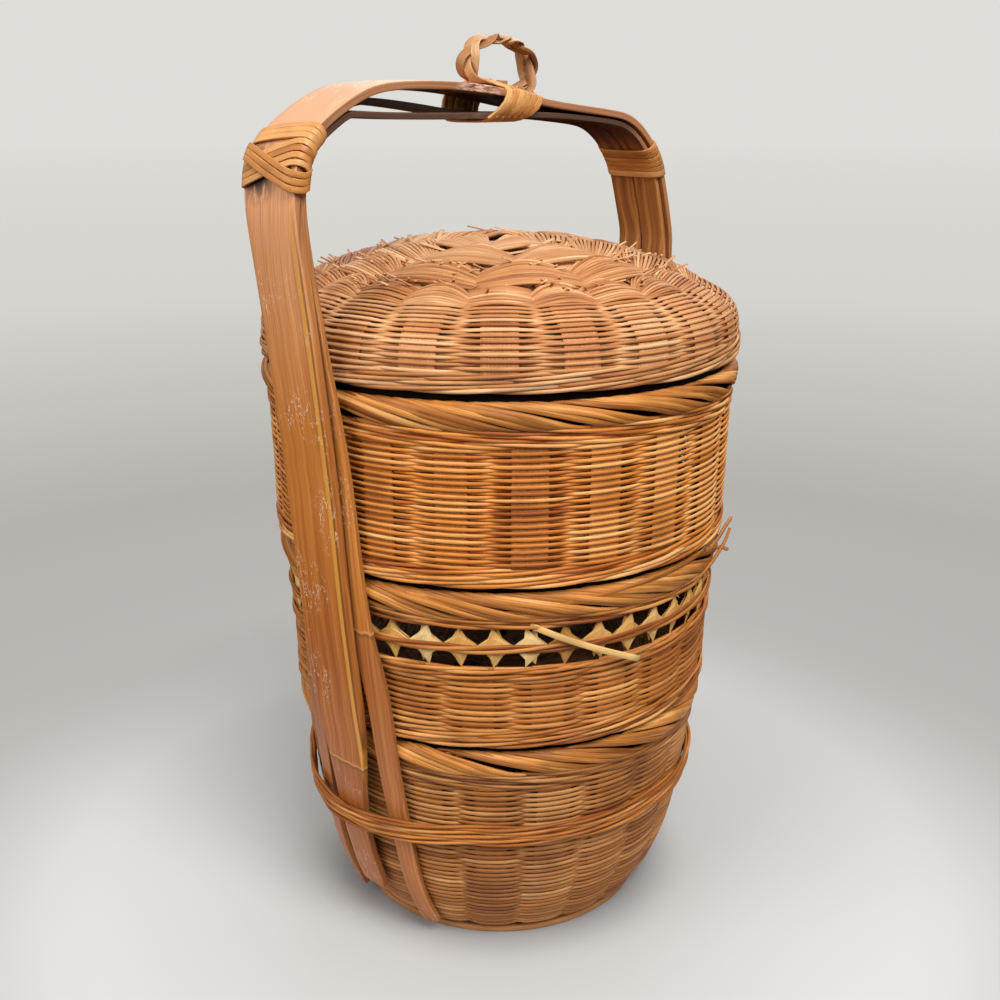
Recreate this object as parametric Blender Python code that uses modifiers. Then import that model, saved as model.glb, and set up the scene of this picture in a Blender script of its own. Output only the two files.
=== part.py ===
"""Tiered bamboo food basket: three woven tiers and a domed lid stacked inside one bent bamboo handle.

The origin is at the middle of the floor that the basket stands on, +Z is up, and the two legs of the
handle stand at -X and +X. Lengths are in metres.
"""

import math
from bisect import bisect_right

import bmesh
import bpy
from mathutils import Vector

# Driving sizes of the three tiers and the lid
BASE_HEIGHT = 0.1285
MIDDLE_HEIGHT = 0.0835
TOP_HEIGHT = 0.0890
LID_HEIGHT = 0.0550
TIER_GAP = 0.0040
LID_RADIUS = 0.1258
LID_OVERHANG = 0.0010
TOP_FLARE = 0.0025
TOP_SKIRT_OVERHANG = 0.0023
MIDDLE_FLARE = 0.0045
MIDDLE_SKIRT_OVERHANG = 0.0020
BASE_FLARE = 0.0335

# Each tier's skirt hangs a little outside the rim of the tier below it
TOP_RIM_RADIUS = LID_RADIUS - LID_OVERHANG
TOP_SKIRT_RADIUS = TOP_RIM_RADIUS - TOP_FLARE
MIDDLE_RIM_RADIUS = TOP_SKIRT_RADIUS - TOP_SKIRT_OVERHANG
MIDDLE_SKIRT_RADIUS = MIDDLE_RIM_RADIUS - MIDDLE_FLARE
BASE_RIM_RADIUS = MIDDLE_SKIRT_RADIUS - MIDDLE_SKIRT_OVERHANG
BASE_FOOT_RADIUS = BASE_RIM_RADIUS - BASE_FLARE

# Outlines of the tiers, as shares of the tier's height and of its growth from bottom to rim radius
BASE_OUTLINE_SHARES = ((0.0, 0.0), (0.062, 0.209), (0.14, 0.388), (0.257, 0.567), (0.374, 0.696),
                       (0.482, 0.776), (0.591, 0.83), (0.716, 0.884), (0.825, 0.931), (1.0, 1.0))
MIDDLE_OUTLINE_SHARES = ((0.0, 0.0), (0.45, 0.2), (0.77, 0.4), (1.0, 1.0))
TOP_OUTLINE_SHARES = ((0.0, 0.0), (0.76, 0.36), (1.0, 1.0))
# The dome of the lid, as shares of its radius and of its height above the edge band
DOME_OUTLINE_SHARES = ((1.0, 0.0), (0.998, 0.146), (0.986, 0.275), (0.954, 0.392), (0.906, 0.48),
                       (0.827, 0.585), (0.747, 0.674), (0.66, 0.744), (0.493, 0.871), (0.334, 0.945),
                       (0.167, 0.985), (0.0, 1.0))

# Woven walls, flat splints and edge bands
WALL_THICKNESS = 0.0035
SPLINT_THICKNESS = 0.0012
STAKE_WIDTH = 0.0145
STAKE_COUNT = 21
CROWDED_STAKE_SHARE = 0.84
# A woven wall swells over each stake and draws in between two stakes, from one such gap to the next
PILLOW_DEPTH = 0.0012
PILLOW_SHARES = (1.0, 0.0, 0.0)
# Where a gap between two stakes lies, as a share of the stakes' spacing
BASE_GAP_SHARE = 0.303
MIDDLE_GAP_SHARE = 0.134
TOP_GAP_SHARE = -0.169
LID_GAP_SHARE = -0.25
HUB_RADIUS = 0.0300
FLOOR_THICKNESS = 0.0024
FOOT_RING_WIDTH = 0.0075
WALING_HEIGHT = 0.0085
WALING_BULGE = 0.0006
SHORT_WALING_SHARE = 0.75
RIM_HEIGHT = 0.0130
RIM_THICKNESS = 0.0040
COLLAR_THICKNESS = 0.0020
COLLAR_RISE = 0.0120
LID_HOOP_HEIGHT = 0.0100
LID_HOOP_THICKNESS = 0.0030
LID_WALL_SHARE = 0.795
LID_CROWN_SHARE = 0.493
LID_WALL_RADIUS = LID_WALL_SHARE * LID_RADIUS
LID_CROWN_RADIUS = LID_CROWN_SHARE * LID_RADIUS
OPENWORK_BOTTOM = 0.0440
OPENWORK_HEIGHT = 0.0204
OPENWORK_THICKNESS = 0.0012
OPENWORK_ROW_HEIGHT = 0.0036
OPENWORK_ROW_THICKNESS = 0.0018
OPENWORK_TIP_SHARE = 0.26
BINDING_BOTTOM = 0.0730
BINDING_HEIGHT = 0.0120
BINDING_THICKNESS = 0.0026

# Fits, lifts and the fineness of round pieces
CLEARANCE = 0.0003
HANDLE_CLEARANCE = 0.0006
MIDDLE_LIFT = 0.0100
TOP_LIFT = 0.0100
LID_LIFT = 0.0120
STAKE_SPACING = math.tau / STAKE_COUNT
RING_STEPS = 2 * STAKE_COUNT
FACET = math.tau / RING_STEPS
FACET_SHARE = math.cos(FACET / 2)

# The bent handle: one wide outer strip over two narrow inner strips
HANDLE_RISE = 0.0793
ARCH_RISE = 0.0525
OUTER_WIDTH = 0.0345
OUTER_THICKNESS = 0.0045
CROWN_SHARE = 0.2
TAIL_WIDTH = 0.0180
TAIL_TIP_WIDTH = 0.0100
SHOULDER_OF_TAIL_SHARE = 0.8
TAIL_END_HEIGHT = 0.0280
TAIL_STANDOFF = 0.0014
TAIL_BELLY = 0.0030
OVERLAP_RUN = 0.0060
INNER_WIDTH = 0.0152
INNER_FOOT_WIDTH = 0.0100
INNER_MIDDLE_SHARE = 0.8
INNER_THICKNESS = 0.0034
INNER_END_HEIGHT = 0.0080
LEFT_SPREAD = 0.0236
RIGHT_SPREAD = 0.0037
LEFT_LEAN = 0.0105
STRIP_SPACING = 0.0005
SPLAY = 0.0284
HANDLE_SECTIONS = 50
LEG_LEVELS = 30
HANDLE_BEND_LENGTH = 0.1500
CURVE_STEPS = 8

# The arch over the lid, left to right, as shares of the reach of its side and of the arch's rise
OUTER_ARCH_SHARES = ((-0.998, 0.0), (-0.977, 0.36), (-0.93, 0.549), (-0.877, 0.672), (-0.803, 0.80),
                     (-0.723, 0.909), (-0.643, 0.97), (-0.535, 0.996), (-0.368, 1.0), (-0.2, 0.981),
                     (-0.054, 0.928), (0.116, 0.852), (0.309, 0.807), (0.51, 0.761), (0.641, 0.731),
                     (0.734, 0.653), (0.815, 0.527), (0.884, 0.369), (0.934, 0.199), (0.968, -0.02))
# Gaps between the wide strip and each narrow strip along the arch, as shares of the reach and the rise
FRONT_DROP_SHARES = ((-1.0, 0.0), (-0.82, 0.0), (-0.783, 0.01), (-0.723, 0.09), (-0.66, 0.143),
                     (-0.57, 0.175), (-0.4, 0.185), (-0.22, 0.17), (-0.033, 0.1), (0.13, 0.02),
                     (0.3, 0.0), (1.0, 0.0))
BACK_DROP_SHARES = ((-1.0, 0.0), (-0.82, 0.0), (-0.74, 0.034), (-0.62, 0.03), (-0.48, 0.068),
                    (-0.34, 0.107), (-0.19, 0.149), (-0.04, 0.1), (0.13, 0.02), (0.3, 0.0), (1.0, 0.0))
# How far the narrow strips spread sideways and how far they turn, up a leg, as shares
SPREAD_SHARES = ((0.0, 1.0), (0.2, 1.0), (0.28, 0.9), (0.42, 0.86), (0.53, 0.44), (0.64, 0.33),
                 (0.78, 0.26), (0.92, 0.06), (1.0, 0.0))
TILT_SHARES = ((0.0, 1.0), (0.75, 1.0), (0.9, 0.5), (1.0, 0.0))
LEAN_START_SHARE = 0.62
LEAN_POWER_SHARE = 1.6

# Cane lashings round the handle, and the plaited ring tied to the top of it
LASHING_THICKNESS = 0.0011
LEFT_LASHING_WIDTH = 0.0029
LEFT_LASHING_PITCH = 0.0060
RIGHT_LASHING_WIDTH = 0.0033
RIGHT_LASHING_PITCH = 0.0052
CENTRE_LASHING_WIDTH = 0.0048
CENTRE_LASHING_PITCH = 0.0060
LASHING_FIT = 0.0005
LASHING_CORNER = 0.0018
LASHING_SIDE_STEPS = (3, 1, 3, 1)
LASHING_CORNER_STEPS = 4
SHOULDER_LASHING_LOOPS = 4
CENTRE_LASHING_LOOPS = 5
LEFT_LASHING_SHARE = 0.967
RIGHT_LASHING_SHARE = 0.90
CENTRE_LASHING_X = -0.0040
RING_X = -0.0010
RING_WIDTH = 0.0130
RING_THICKNESS = 0.0020
RING_HALF_SPAN = 0.0275
RING_RISE = 0.0245
RING_FOOT_SHARES = (0.45, 0.1, -0.25, -0.6)
# The ring's free outline, left to right, as shares of its half span and of its rise
RING_OUTLINE_SHARES = ((-0.86, 0.13), (-1.0, 0.34), (-0.92, 0.62), (-0.62, 0.88), (-0.16, 1.0),
                       (0.34, 0.94), (0.74, 0.70), (0.96, 0.36), (0.92, 0.06), (0.72, -0.10))


# Plain geometry

def along(points, where):
    """Value at a place on a piecewise straight line of (place, value) points."""
    places = [point[0] for point in points]
    index = min(max(bisect_right(places, where), 1), len(points) - 1)
    (low, low_value), (high, high_value) = points[index - 1], points[index]
    return low_value + (high_value - low_value) * (where - low) / (high - low)


def smooth_curve(points, closed=False):
    """Fine points on a smooth curve through all the given points, without overshoot between them."""
    points = [Vector(point) for point in points]
    if closed:
        chain = [points[-1]] + points + points[:2]
    else:
        chain = [2 * points[0] - points[1]] + points + [2 * points[-1] - points[-2]]
    fine = []
    for a, b, c, d in zip(chain, chain[1:], chain[2:], chain[3:]):
        t1 = (b - a).length ** 0.5
        t2 = t1 + (c - b).length ** 0.5
        t3 = t2 + (d - c).length ** 0.5
        for step in range(CURVE_STEPS):
            t = t1 + (t2 - t1) * step / CURVE_STEPS
            ab, bc, cd = a.lerp(b, t / t1), b.lerp(c, (t - t1) / (t2 - t1)), c.lerp(d, (t - t2) / (t3 - t2))
            fine.append(ab.lerp(bc, t / t2).lerp(bc.lerp(cd, (t - t1) / (t3 - t1)), (t - t1) / (t2 - t1)))
    if not closed:
        fine.append(points[-1])
    return fine


def smooth_along(shares, where):
    """Value at a place on a smooth line through (place, value) shares."""
    return along([tuple(point) for point in smooth_curve(shares)], where)


def taut_line(points):
    """The (place, value) points that a stiff strip laid over all of them would touch."""
    touched = []
    for point in sorted(points):
        while len(touched) > 1:
            (x, y), (ahead_x, ahead_y) = touched[-2], touched[-1]
            if (ahead_x - x) * (point[1] - y) < (ahead_y - y) * (point[0] - x):
                break
            touched.pop()
        touched.append(point)
    return touched


def resample(points, count, bend_length=0.0):
    """The given number of points along a line, closer together where it bends."""
    directions = tangents(points)
    lengths = [0.0]
    for index in range(len(points) - 1):
        turn = directions[index].angle(directions[index + 1], 0.0)
        lengths.append(lengths[-1] + (points[index + 1] - points[index]).length + turn * bend_length)
    spaced = []
    for index in range(count):
        where = lengths[-1] * index / (count - 1)
        piece = min(max(bisect_right(lengths, where), 1), len(points) - 1)
        span = lengths[piece] - lengths[piece - 1]
        spaced.append(points[piece - 1].lerp(points[piece], (where - lengths[piece - 1]) / span))
    return spaced


def tangents(points, closed=False):
    """Unit directions of a line at each of its points."""
    count = len(points)
    found = []
    for index in range(count):
        before = points[(index - 1) % count if closed else max(index - 1, 0)]
        after = points[(index + 1) % count if closed else min(index + 1, count - 1)]
        found.append((after - before).normalized())
    return found


# Scene and objects

def clear_scene():
    """Remove whatever the scene holds at the start."""
    for item in list(bpy.data.objects):
        bpy.data.objects.remove(item, do_unlink=True)


def make_collection(name):
    """A new collection linked to the scene."""
    collection = bpy.data.collections.new(name)
    bpy.context.scene.collection.children.link(collection)
    return collection


def make_material(name, colour, roughness):
    """A Principled BSDF material of one colour."""
    material = bpy.data.materials.new(name)
    material.use_nodes = True
    shader = material.node_tree.nodes["Principled BSDF"]
    shader.inputs["Base Color"].default_value = (*colour, 1.0)
    shader.inputs["Roughness"].default_value = roughness
    shader.inputs["Metallic"].default_value = 0.0
    return material


def add_object(name, mesh, material, parent):
    """Put a mesh in the basket's collection, with its material and the body that it moves with."""
    item = bpy.data.objects.new(name, mesh)
    BASKET.objects.link(item)
    mesh.materials.append(material)
    item.parent = parent
    if parent is not None:
        item.matrix_parent_inverse = parent.matrix_world.inverted()
    mesh.shade_smooth()
    mesh.set_sharp_from_angle(angle=math.radians(35))
    return item


def add_body(name, height, parent):
    """An empty on the basket's axis that carries the pieces of one tier."""
    body = bpy.data.objects.new(name, None)
    BASKET.objects.link(body)
    body.location = (0, 0, height)
    body.empty_display_size = BASE_FOOT_RADIUS
    bpy.context.view_layer.update()
    if parent is not None:
        body.parent = parent
        body.matrix_parent_inverse = parent.matrix_world.inverted()
    bpy.context.view_layer.update()
    return body


def mesh_from(name, build):
    """A mesh that the given function fills through bmesh."""
    mesh = bpy.data.meshes.new(name)
    shape = bmesh.new()
    build(shape)
    shape.to_mesh(mesh)
    shape.free()
    return mesh


def turned(name, outline, material, parent):
    """A piece turned about the basket's axis from (radius, height) points, outer side downwards."""
    def build(shape):
        corners = [shape.verts.new((radius, 0, height)) for radius, height in outline]
        for start, end in zip(corners, corners[1:]):
            shape.edges.new((start, end))
        if outline[0][0] > 0:
            shape.edges.new((corners[-1], corners[0]))

    item = add_object(name, mesh_from(name, build), material, parent)
    screw = item.modifiers.new("turn", "SCREW")
    screw.steps = RING_STEPS
    screw.render_steps = RING_STEPS
    screw.use_merge_vertices = True
    screw.merge_threshold = 0.00001
    screw.use_smooth_shade = False
    return item


def hoop(name, outer_low, outer_high, inner, low, high, material, parent):
    """A turned hoop between two heights, whose outer side may lean."""
    outline = [(outer_high, high), (outer_low, low), (inner[0], low), (inner[1], high)]
    return turned(name, outline, material, parent)


def lofted(name, sections, material, parent, closed=False):
    """A closed solid through a row of sections that all have the same number of corners."""
    def build(shape):
        rows = [[shape.verts.new(corner) for corner in section] for section in sections]
        pairs = list(zip(rows, rows[1:]))
        if closed:
            pairs.append((rows[-1], rows[0]))
        for row, after in pairs:
            for corner in range(len(row)):
                following = (corner + 1) % len(row)
                shape.faces.new((row[corner], row[following], after[following], after[corner]))
        if not closed:
            shape.faces.new(list(reversed(rows[0])))
            shape.faces.new(rows[-1])
        bmesh.ops.recalc_face_normals(shape, faces=shape.faces)

    return add_object(name, mesh_from(name, build), material, parent)


# Outlines of the woven tiers

class Tier:
    """Heights and outer radii of one woven tier."""

    def __init__(self, bottom, height, low_radius, rim_radius, shares):
        self.bottom = bottom
        self.rim_top = bottom + height
        self.rim_bottom = self.rim_top - RIM_HEIGHT
        self.waling_top = self.rim_bottom - CLEARANCE
        self.waling_bottom = self.waling_top - WALING_HEIGHT
        self.collar_top = self.rim_top + COLLAR_RISE
        self.rim_radius = rim_radius
        self.curve = [(bottom + height * up, low_radius + (rim_radius - low_radius) * out)
                      for up, out in shares]

    def radius(self, height):
        """Outer radius of the woven wall at a height."""
        return along(self.curve, height)

    def inner(self, height):
        """Inner radius of the woven wall at a height."""
        return self.radius(height) - WALL_THICKNESS


BASE = Tier(0.0, BASE_HEIGHT, BASE_FOOT_RADIUS, BASE_RIM_RADIUS, BASE_OUTLINE_SHARES)
MIDDLE = Tier(BASE.rim_top + TIER_GAP, MIDDLE_HEIGHT, MIDDLE_SKIRT_RADIUS, MIDDLE_RIM_RADIUS,
              MIDDLE_OUTLINE_SHARES)
TOP = Tier(MIDDLE.rim_top + TIER_GAP, TOP_HEIGHT, TOP_SKIRT_RADIUS, TOP_RIM_RADIUS, TOP_OUTLINE_SHARES)
LID_BOTTOM = TOP.rim_top + TIER_GAP
LID_WALL_BOTTOM = LID_BOTTOM + WALING_HEIGHT + CLEARANCE
LID_TOP = LID_BOTTOM + LID_HEIGHT
LEG_TOP = (LID_WALL_BOTTOM + (LID_TOP - LID_WALL_BOTTOM) * DOME_OUTLINE_SHARES[1][1]
           + MIDDLE_LIFT + TOP_LIFT + LID_LIFT)


def dome_line(depth=0.0):
    """Points (radius, height) of the lid's dome, edge to apex, a depth below its outer surface."""
    rise = LID_TOP - LID_WALL_BOTTOM
    outer = [Vector((LID_RADIUS * out, LID_WALL_BOTTOM + rise * up)) for out, up in DOME_OUTLINE_SHARES]
    line = []
    for point, direction in zip(outer, tangents(outer)):
        inward = Vector((-direction.y, direction.x))
        line.append(point + inward * depth)
    line[0].y = LID_WALL_BOTTOM
    line[-1] = Vector((0, LID_TOP - depth))
    return line


def cut_line(line, outer, inner):
    """The part of an edge-to-apex line between an outer and an inner radius, ends included."""
    falling = [(-point.x, point.y) for point in line]
    kept = [point for point in line if inner < point.x < outer]
    start = Vector((outer, along(falling, -outer))) if outer < line[0].x else line[0]
    end = Vector((inner, along(falling, -inner))) if inner > 0 else line[-1]
    kept = [point for point in kept if (point - start).length > CLEARANCE]
    return [start] + kept + [end]


# Pieces that several tiers share

def woven_wall(name, tier, low, high, shares, gap_share, parent):
    """The woven wall of a tier between two heights, in one swelling column for each stake."""
    heights = [low + (high - low) * share for share in shares]
    outline = [(tier.radius(height), height, PILLOW_DEPTH) for height in reversed(heights)]
    outline += [(tier.inner(height), height, 0.0) for height in heights]
    steps = len(PILLOW_SHARES) * STAKE_COUNT
    sections = []
    for index in range(steps):
        angle = (index / len(PILLOW_SHARES) + gap_share) * STAKE_SPACING
        drawn = PILLOW_SHARES[index % len(PILLOW_SHARES)]
        section = []
        for radius, height, depth in outline:
            reach = radius - depth * drawn
            section.append((reach * math.cos(angle), reach * math.sin(angle), height))
        sections.append(section)
    return lofted(name, sections, CANE, parent, closed=True)


def waling(name, tier, low, high, parent):
    """A band of twined rows that hugs the tier between two heights."""
    inner = (tier.inner(low), tier.inner(high))
    return hoop(name, tier.radius(low) + WALING_BULGE, tier.radius(high) + WALING_BULGE, inner, low, high,
                CANE, parent)


def rim_border(name, tier, parent):
    """The rolled border that finishes the rim of a tier."""
    inner = tier.rim_radius - RIM_THICKNESS
    low = tier.radius(tier.rim_bottom)
    outline = [(tier.rim_radius, tier.rim_top),
               (low, tier.rim_bottom),
               (inner, tier.rim_bottom),
               (inner, tier.rim_top)]
    return turned(name, outline, CANE_LIGHT, parent)


def collar(name, tier, parent):
    """The flat hoop inside the rim; the next tier or the lid nests over it."""
    outer = tier.rim_radius - RIM_THICKNESS - CLEARANCE
    inner = outer - COLLAR_THICKNESS
    return hoop(name, outer, outer, (inner, inner), tier.rim_bottom, tier.collar_top, SPLINT, parent)


def woven_floor(name, low, radius, parent):
    """The flat woven floor of a tier."""
    outline = [(0, low + FLOOR_THICKNESS), (radius, low + FLOOR_THICKNESS), (radius, low), (0, low)]
    return turned(name, outline, CANE_DARK, parent)


def stake_half_width(radius):
    """Half of a stake's width, which narrows where the stakes crowd towards the hub."""
    crowded = CROWDED_STAKE_SHARE * radius * math.sin(math.pi / STAKE_COUNT)
    return min(STAKE_WIDTH / 2, crowded)


def stakes(name, path, gap_share, parent):
    """Flat stakes that spread from a hub and bend along a wall; the path is (radius, height) points."""
    def build(shape):
        hub = []
        for index in range(STAKE_COUNT):
            angle = (index + 0.5 + gap_share) * STAKE_SPACING
            out = Vector((math.cos(angle), math.sin(angle), 0))
            side = Vector((-math.sin(angle), math.cos(angle), 0))
            rows = []
            for radius, height in path:
                half = stake_half_width(radius)
                middle = out * radius + Vector((0, 0, height))
                rows.append((shape.verts.new(middle - side * half), shape.verts.new(middle + side * half)))
            for row, after in zip(rows, rows[1:]):
                shape.faces.new((row[0], row[1], after[1], after[0]))
            hub += rows[0]
        shape.faces.new(hub)
        bmesh.ops.recalc_face_normals(shape, faces=shape.faces)

    item = add_object(name, mesh_from(name, build), SPLINT, parent)
    shell = item.modifiers.new("splint", "SOLIDIFY")
    shell.thickness = SPLINT_THICKNESS
    shell.use_even_offset = True
    shell.offset = -1.0
    return item


def tier_stake_path(tier, floor_top, levels):
    """Outer side of a tier's stakes: across the floor, then up the inside of the wall."""
    height = floor_top + CLEARANCE
    corner = tier.inner(height) * FACET_SHARE - 2 * CLEARANCE
    path = [(HUB_RADIUS, height), (corner, height)]
    path += [(tier.inner(level) * FACET_SHARE - 2 * CLEARANCE, level) for level in levels]
    return path


# Bottom tier

def make_base(parent):
    """Bottom tier: flat floor and foot ring, rounded wall, edge bands, collar."""
    foot_outer = BASE.radius(FLOOR_THICKNESS) - CLEARANCE
    foot_inner = foot_outer - FOOT_RING_WIDTH
    woven_floor("base_floor", 0.0, foot_inner - CLEARANCE, parent)
    hoop("base_foot_ring", BASE_FOOT_RADIUS, foot_outer, (foot_inner, foot_inner), 0.0, FLOOR_THICKNESS,
         SPLINT, parent)
    low = FLOOR_THICKNESS + CLEARANCE
    high = BASE.waling_bottom - CLEARANCE
    woven_wall("base_wall", BASE, low, high, (0.0, 0.14, 0.33, 0.6, 1.0), BASE_GAP_SHARE, parent)
    waling("base_upper_waling", BASE, BASE.waling_bottom, BASE.waling_top, parent)
    rim_border("base_rim_border", BASE, parent)
    collar("base_collar", BASE, parent)
    levels = [low + (high - low) * share for share in (0.14, 0.33, 0.6)] + [BASE.waling_top]
    stakes("base_stakes", tier_stake_path(BASE, FLOOR_THICKNESS, levels), BASE_GAP_SHARE, parent)


# Middle tier

def make_middle(parent):
    """Middle tier: skirt, floor, short wall, openwork row, edge bands, collar."""
    floor_low = BASE.collar_top + CLEARANCE
    wall_low = MIDDLE.bottom + WALING_HEIGHT + CLEARANCE
    openwork_low = MIDDLE.bottom + OPENWORK_BOTTOM
    openwork_high = openwork_low + OPENWORK_HEIGHT
    lower_band = openwork_low - CLEARANCE - WALING_HEIGHT * SHORT_WALING_SHARE
    waling("middle_lower_waling", MIDDLE, MIDDLE.bottom, wall_low - CLEARANCE, parent)
    woven_floor("middle_floor", floor_low, MIDDLE.inner(floor_low) - CLEARANCE, parent)
    woven_wall("middle_wall", MIDDLE, wall_low, lower_band - CLEARANCE, (0.0, 1.0), MIDDLE_GAP_SHARE, parent)
    waling("middle_band_waling", MIDDLE, lower_band, openwork_low - CLEARANCE, parent)
    make_openwork(openwork_low, openwork_high, parent)
    waling("middle_upper_waling", MIDDLE, openwork_high + CLEARANCE, MIDDLE.waling_top, parent)
    rim_border("middle_rim_border", MIDDLE, parent)
    collar("middle_collar", MIDDLE, parent)
    floor_top = floor_low + FLOOR_THICKNESS
    stakes("middle_stakes", tier_stake_path(MIDDLE, floor_top, [lower_band, openwork_low - CLEARANCE]),
           MIDDLE_GAP_SHARE, parent)


def make_openwork(low, high, parent):
    """The row of crossed split stakes, which leaves a hole above and below each crossing."""
    count = 2 * STAKE_COUNT
    middle = (low + high) / 2
    radius = MIDDLE.radius(middle) - OPENWORK_ROW_THICKNESS
    row_low = middle - OPENWORK_ROW_HEIGHT / 2
    row_high = middle + OPENWORK_ROW_HEIGHT / 2

    def build(shape):
        def corner(angle, height):
            return shape.verts.new((radius * math.cos(angle), radius * math.sin(angle), height))

        borders = []
        for index in range(count):
            angle = index * math.tau / count
            borders.append((corner(angle, row_low), corner(angle, row_high)))
        for index in range(count):
            left, right = borders[index], borders[(index + 1) % count]
            shape.faces.new((left[0], right[0], right[1], left[1]))
            centre = (index + 0.5) * math.tau / count
            half = OPENWORK_TIP_SHARE * math.pi / count
            for side, height, row in ((-1, low, 0), (1, high, 1)):
                first = corner(centre - half, height)
                second = corner(centre + half, height)
                face = (left[row], right[row], second, first)
                shape.faces.new(face if side > 0 else tuple(reversed(face)))
        bmesh.ops.recalc_face_normals(shape, faces=shape.faces)

    item = add_object("middle_openwork", mesh_from("middle_openwork", build), STRAW, parent)
    shell = item.modifiers.new("splint", "SOLIDIFY")
    shell.thickness = OPENWORK_THICKNESS
    shell.offset = -1.0
    row_inner = radius + HANDLE_CLEARANCE
    hoop("middle_openwork_row", row_inner + OPENWORK_ROW_THICKNESS, row_inner + OPENWORK_ROW_THICKNESS,
         (row_inner, row_inner), row_low, row_high, CANE, parent)


# Top tier

def make_top(parent):
    """Top tier: skirt, floor, tall wall, edge bands, collar."""
    floor_low = MIDDLE.collar_top + CLEARANCE
    wall_low = TOP.bottom + WALING_HEIGHT + CLEARANCE
    waling("top_lower_waling", TOP, TOP.bottom, wall_low - CLEARANCE, parent)
    woven_floor("top_floor", floor_low, TOP.inner(floor_low) - CLEARANCE, parent)
    woven_wall("top_wall", TOP, wall_low, TOP.waling_bottom - CLEARANCE, (0.0, 1.0), TOP_GAP_SHARE, parent)
    waling("top_upper_waling", TOP, TOP.waling_bottom, TOP.waling_top, parent)
    rim_border("top_rim_border", TOP, parent)
    collar("top_collar", TOP, parent)
    floor_top = floor_low + FLOOR_THICKNESS
    stakes("top_stakes", tier_stake_path(TOP, floor_top, [TOP.waling_bottom, TOP.waling_top]), TOP_GAP_SHARE,
           parent)


# Lid

def dome_shell(name, outer, inner, material, parent):
    """Part of the lid's domed weave between two radii."""
    under = cut_line(dome_line(WALL_THICKNESS), outer, inner)
    over = cut_line(dome_line(), outer, inner)
    outline = [(point.x, point.y) for point in reversed(over)]
    outline += [(point.x, point.y) for point in under]
    return turned(name, outline, material, parent)


def make_lid(parent):
    """Domed lid: edge band, side weave, crown weave, crown plait, stakes, inner hoop."""
    inner = LID_RADIUS - WALL_THICKNESS
    hoop("lid_rim_waling", LID_RADIUS, LID_RADIUS, (inner, inner), LID_BOTTOM, LID_BOTTOM + WALING_HEIGHT,
         CANE, parent)
    dome_shell("lid_wall", LID_RADIUS, LID_WALL_RADIUS, CANE_PINK, parent)
    dome_shell("lid_crown_weave", LID_WALL_RADIUS - CLEARANCE, LID_CROWN_RADIUS, CANE_PINK, parent)
    dome_shell("lid_crown_plait", LID_CROWN_RADIUS - CLEARANCE, 0.0, STRAW, parent)
    hoop_low = TOP.collar_top + CLEARANCE
    hoop_high = hoop_low + LID_HOOP_HEIGHT
    hoop_outer = inner - CLEARANCE
    hoop_inner = hoop_outer - LID_HOOP_THICKNESS
    under = [(point.y, point.x) for point in dome_line(WALL_THICKNESS + CLEARANCE)]
    hoop("lid_inner_hoop", hoop_outer, along(under, hoop_high), (hoop_inner, hoop_inner), hoop_low,
         hoop_high, SPLINT, parent)
    below = dome_line(WALL_THICKNESS + 2 * CLEARANCE)
    falling = [(-point.x, point.y) for point in below]
    path = [(HUB_RADIUS, along(falling, -HUB_RADIUS))]
    for radius in (LID_CROWN_RADIUS, LID_WALL_RADIUS, (LID_WALL_RADIUS + hoop_outer) / 2):
        path.append((radius * FACET_SHARE, along(falling, -radius)))
    foot = hoop_high + SPLINT_THICKNESS
    path.append((along([(point.y, point.x) for point in below], foot) * FACET_SHARE, foot))
    stakes("lid_stakes", path, LID_GAP_SHARE, parent)


# Handle: where its strips run

def leg_line():
    """Points (height, radius) of the line that a leg's strips follow up the tiers to the lid's edge.

    It clears the tiers and the lid where they rest and where they are when lifted.
    """
    points = [(height, radius + WALING_BULGE) for height, radius in BASE.curve]
    for tier, lift in ((MIDDLE, MIDDLE_LIFT), (TOP, MIDDLE_LIFT + TOP_LIFT)):
        for height, radius in tier.curve:
            points += [(height, radius + WALING_BULGE), (height + lift, radius + WALING_BULGE)]
    points += [(LID_BOTTOM, LID_RADIUS), (LEG_TOP, LID_RADIUS)]
    return taut_line(points)


def leg_radius(height):
    """Radius of that line at a height."""
    return along(LEG_LINE, height)


def leg_outside(height, depth):
    """Radius of a point that lies a depth outside that line, measured square to it."""
    step = CLEARANCE
    slope = (leg_radius(height + step) - leg_radius(height - step)) / (2 * step)
    return leg_radius(height) + depth * math.hypot(1, slope)


def lean_at(height, lean):
    """How far a leg leans away from the basket at a height."""
    start = LEAN_START_SHARE * LEG_TOP
    return lean * max(0.0, (height - start) / (LEG_TOP - start)) ** LEAN_POWER_SHARE


def strip_sideways(height):
    """Sideways distance of a narrow strip's middle from the handle's middle plane, on a leg."""
    close = INNER_WIDTH / 2 + STRIP_SPACING
    return close + (SPLAY - close) * smooth_along(SPREAD_SHARES, height / LEG_TOP)


def strip_tilt(height):
    """How far a narrow strip is turned away from facing along the handle's plane."""
    if height > LEG_TOP:
        return 0.0
    share = smooth_along(TILT_SHARES, height / LEG_TOP)
    return share * math.atan2(strip_sideways(height), leg_radius(height))


def narrow_face(height, lean):
    """Distance from the axis, along the handle's plane, of the outer face of a narrow strip."""
    tilt = strip_tilt(height)
    face = leg_outside(height, HANDLE_CLEARANCE + INNER_THICKNESS)
    return (face - strip_sideways(height) * math.sin(tilt)) / math.cos(tilt) + lean_at(height, lean)


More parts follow.
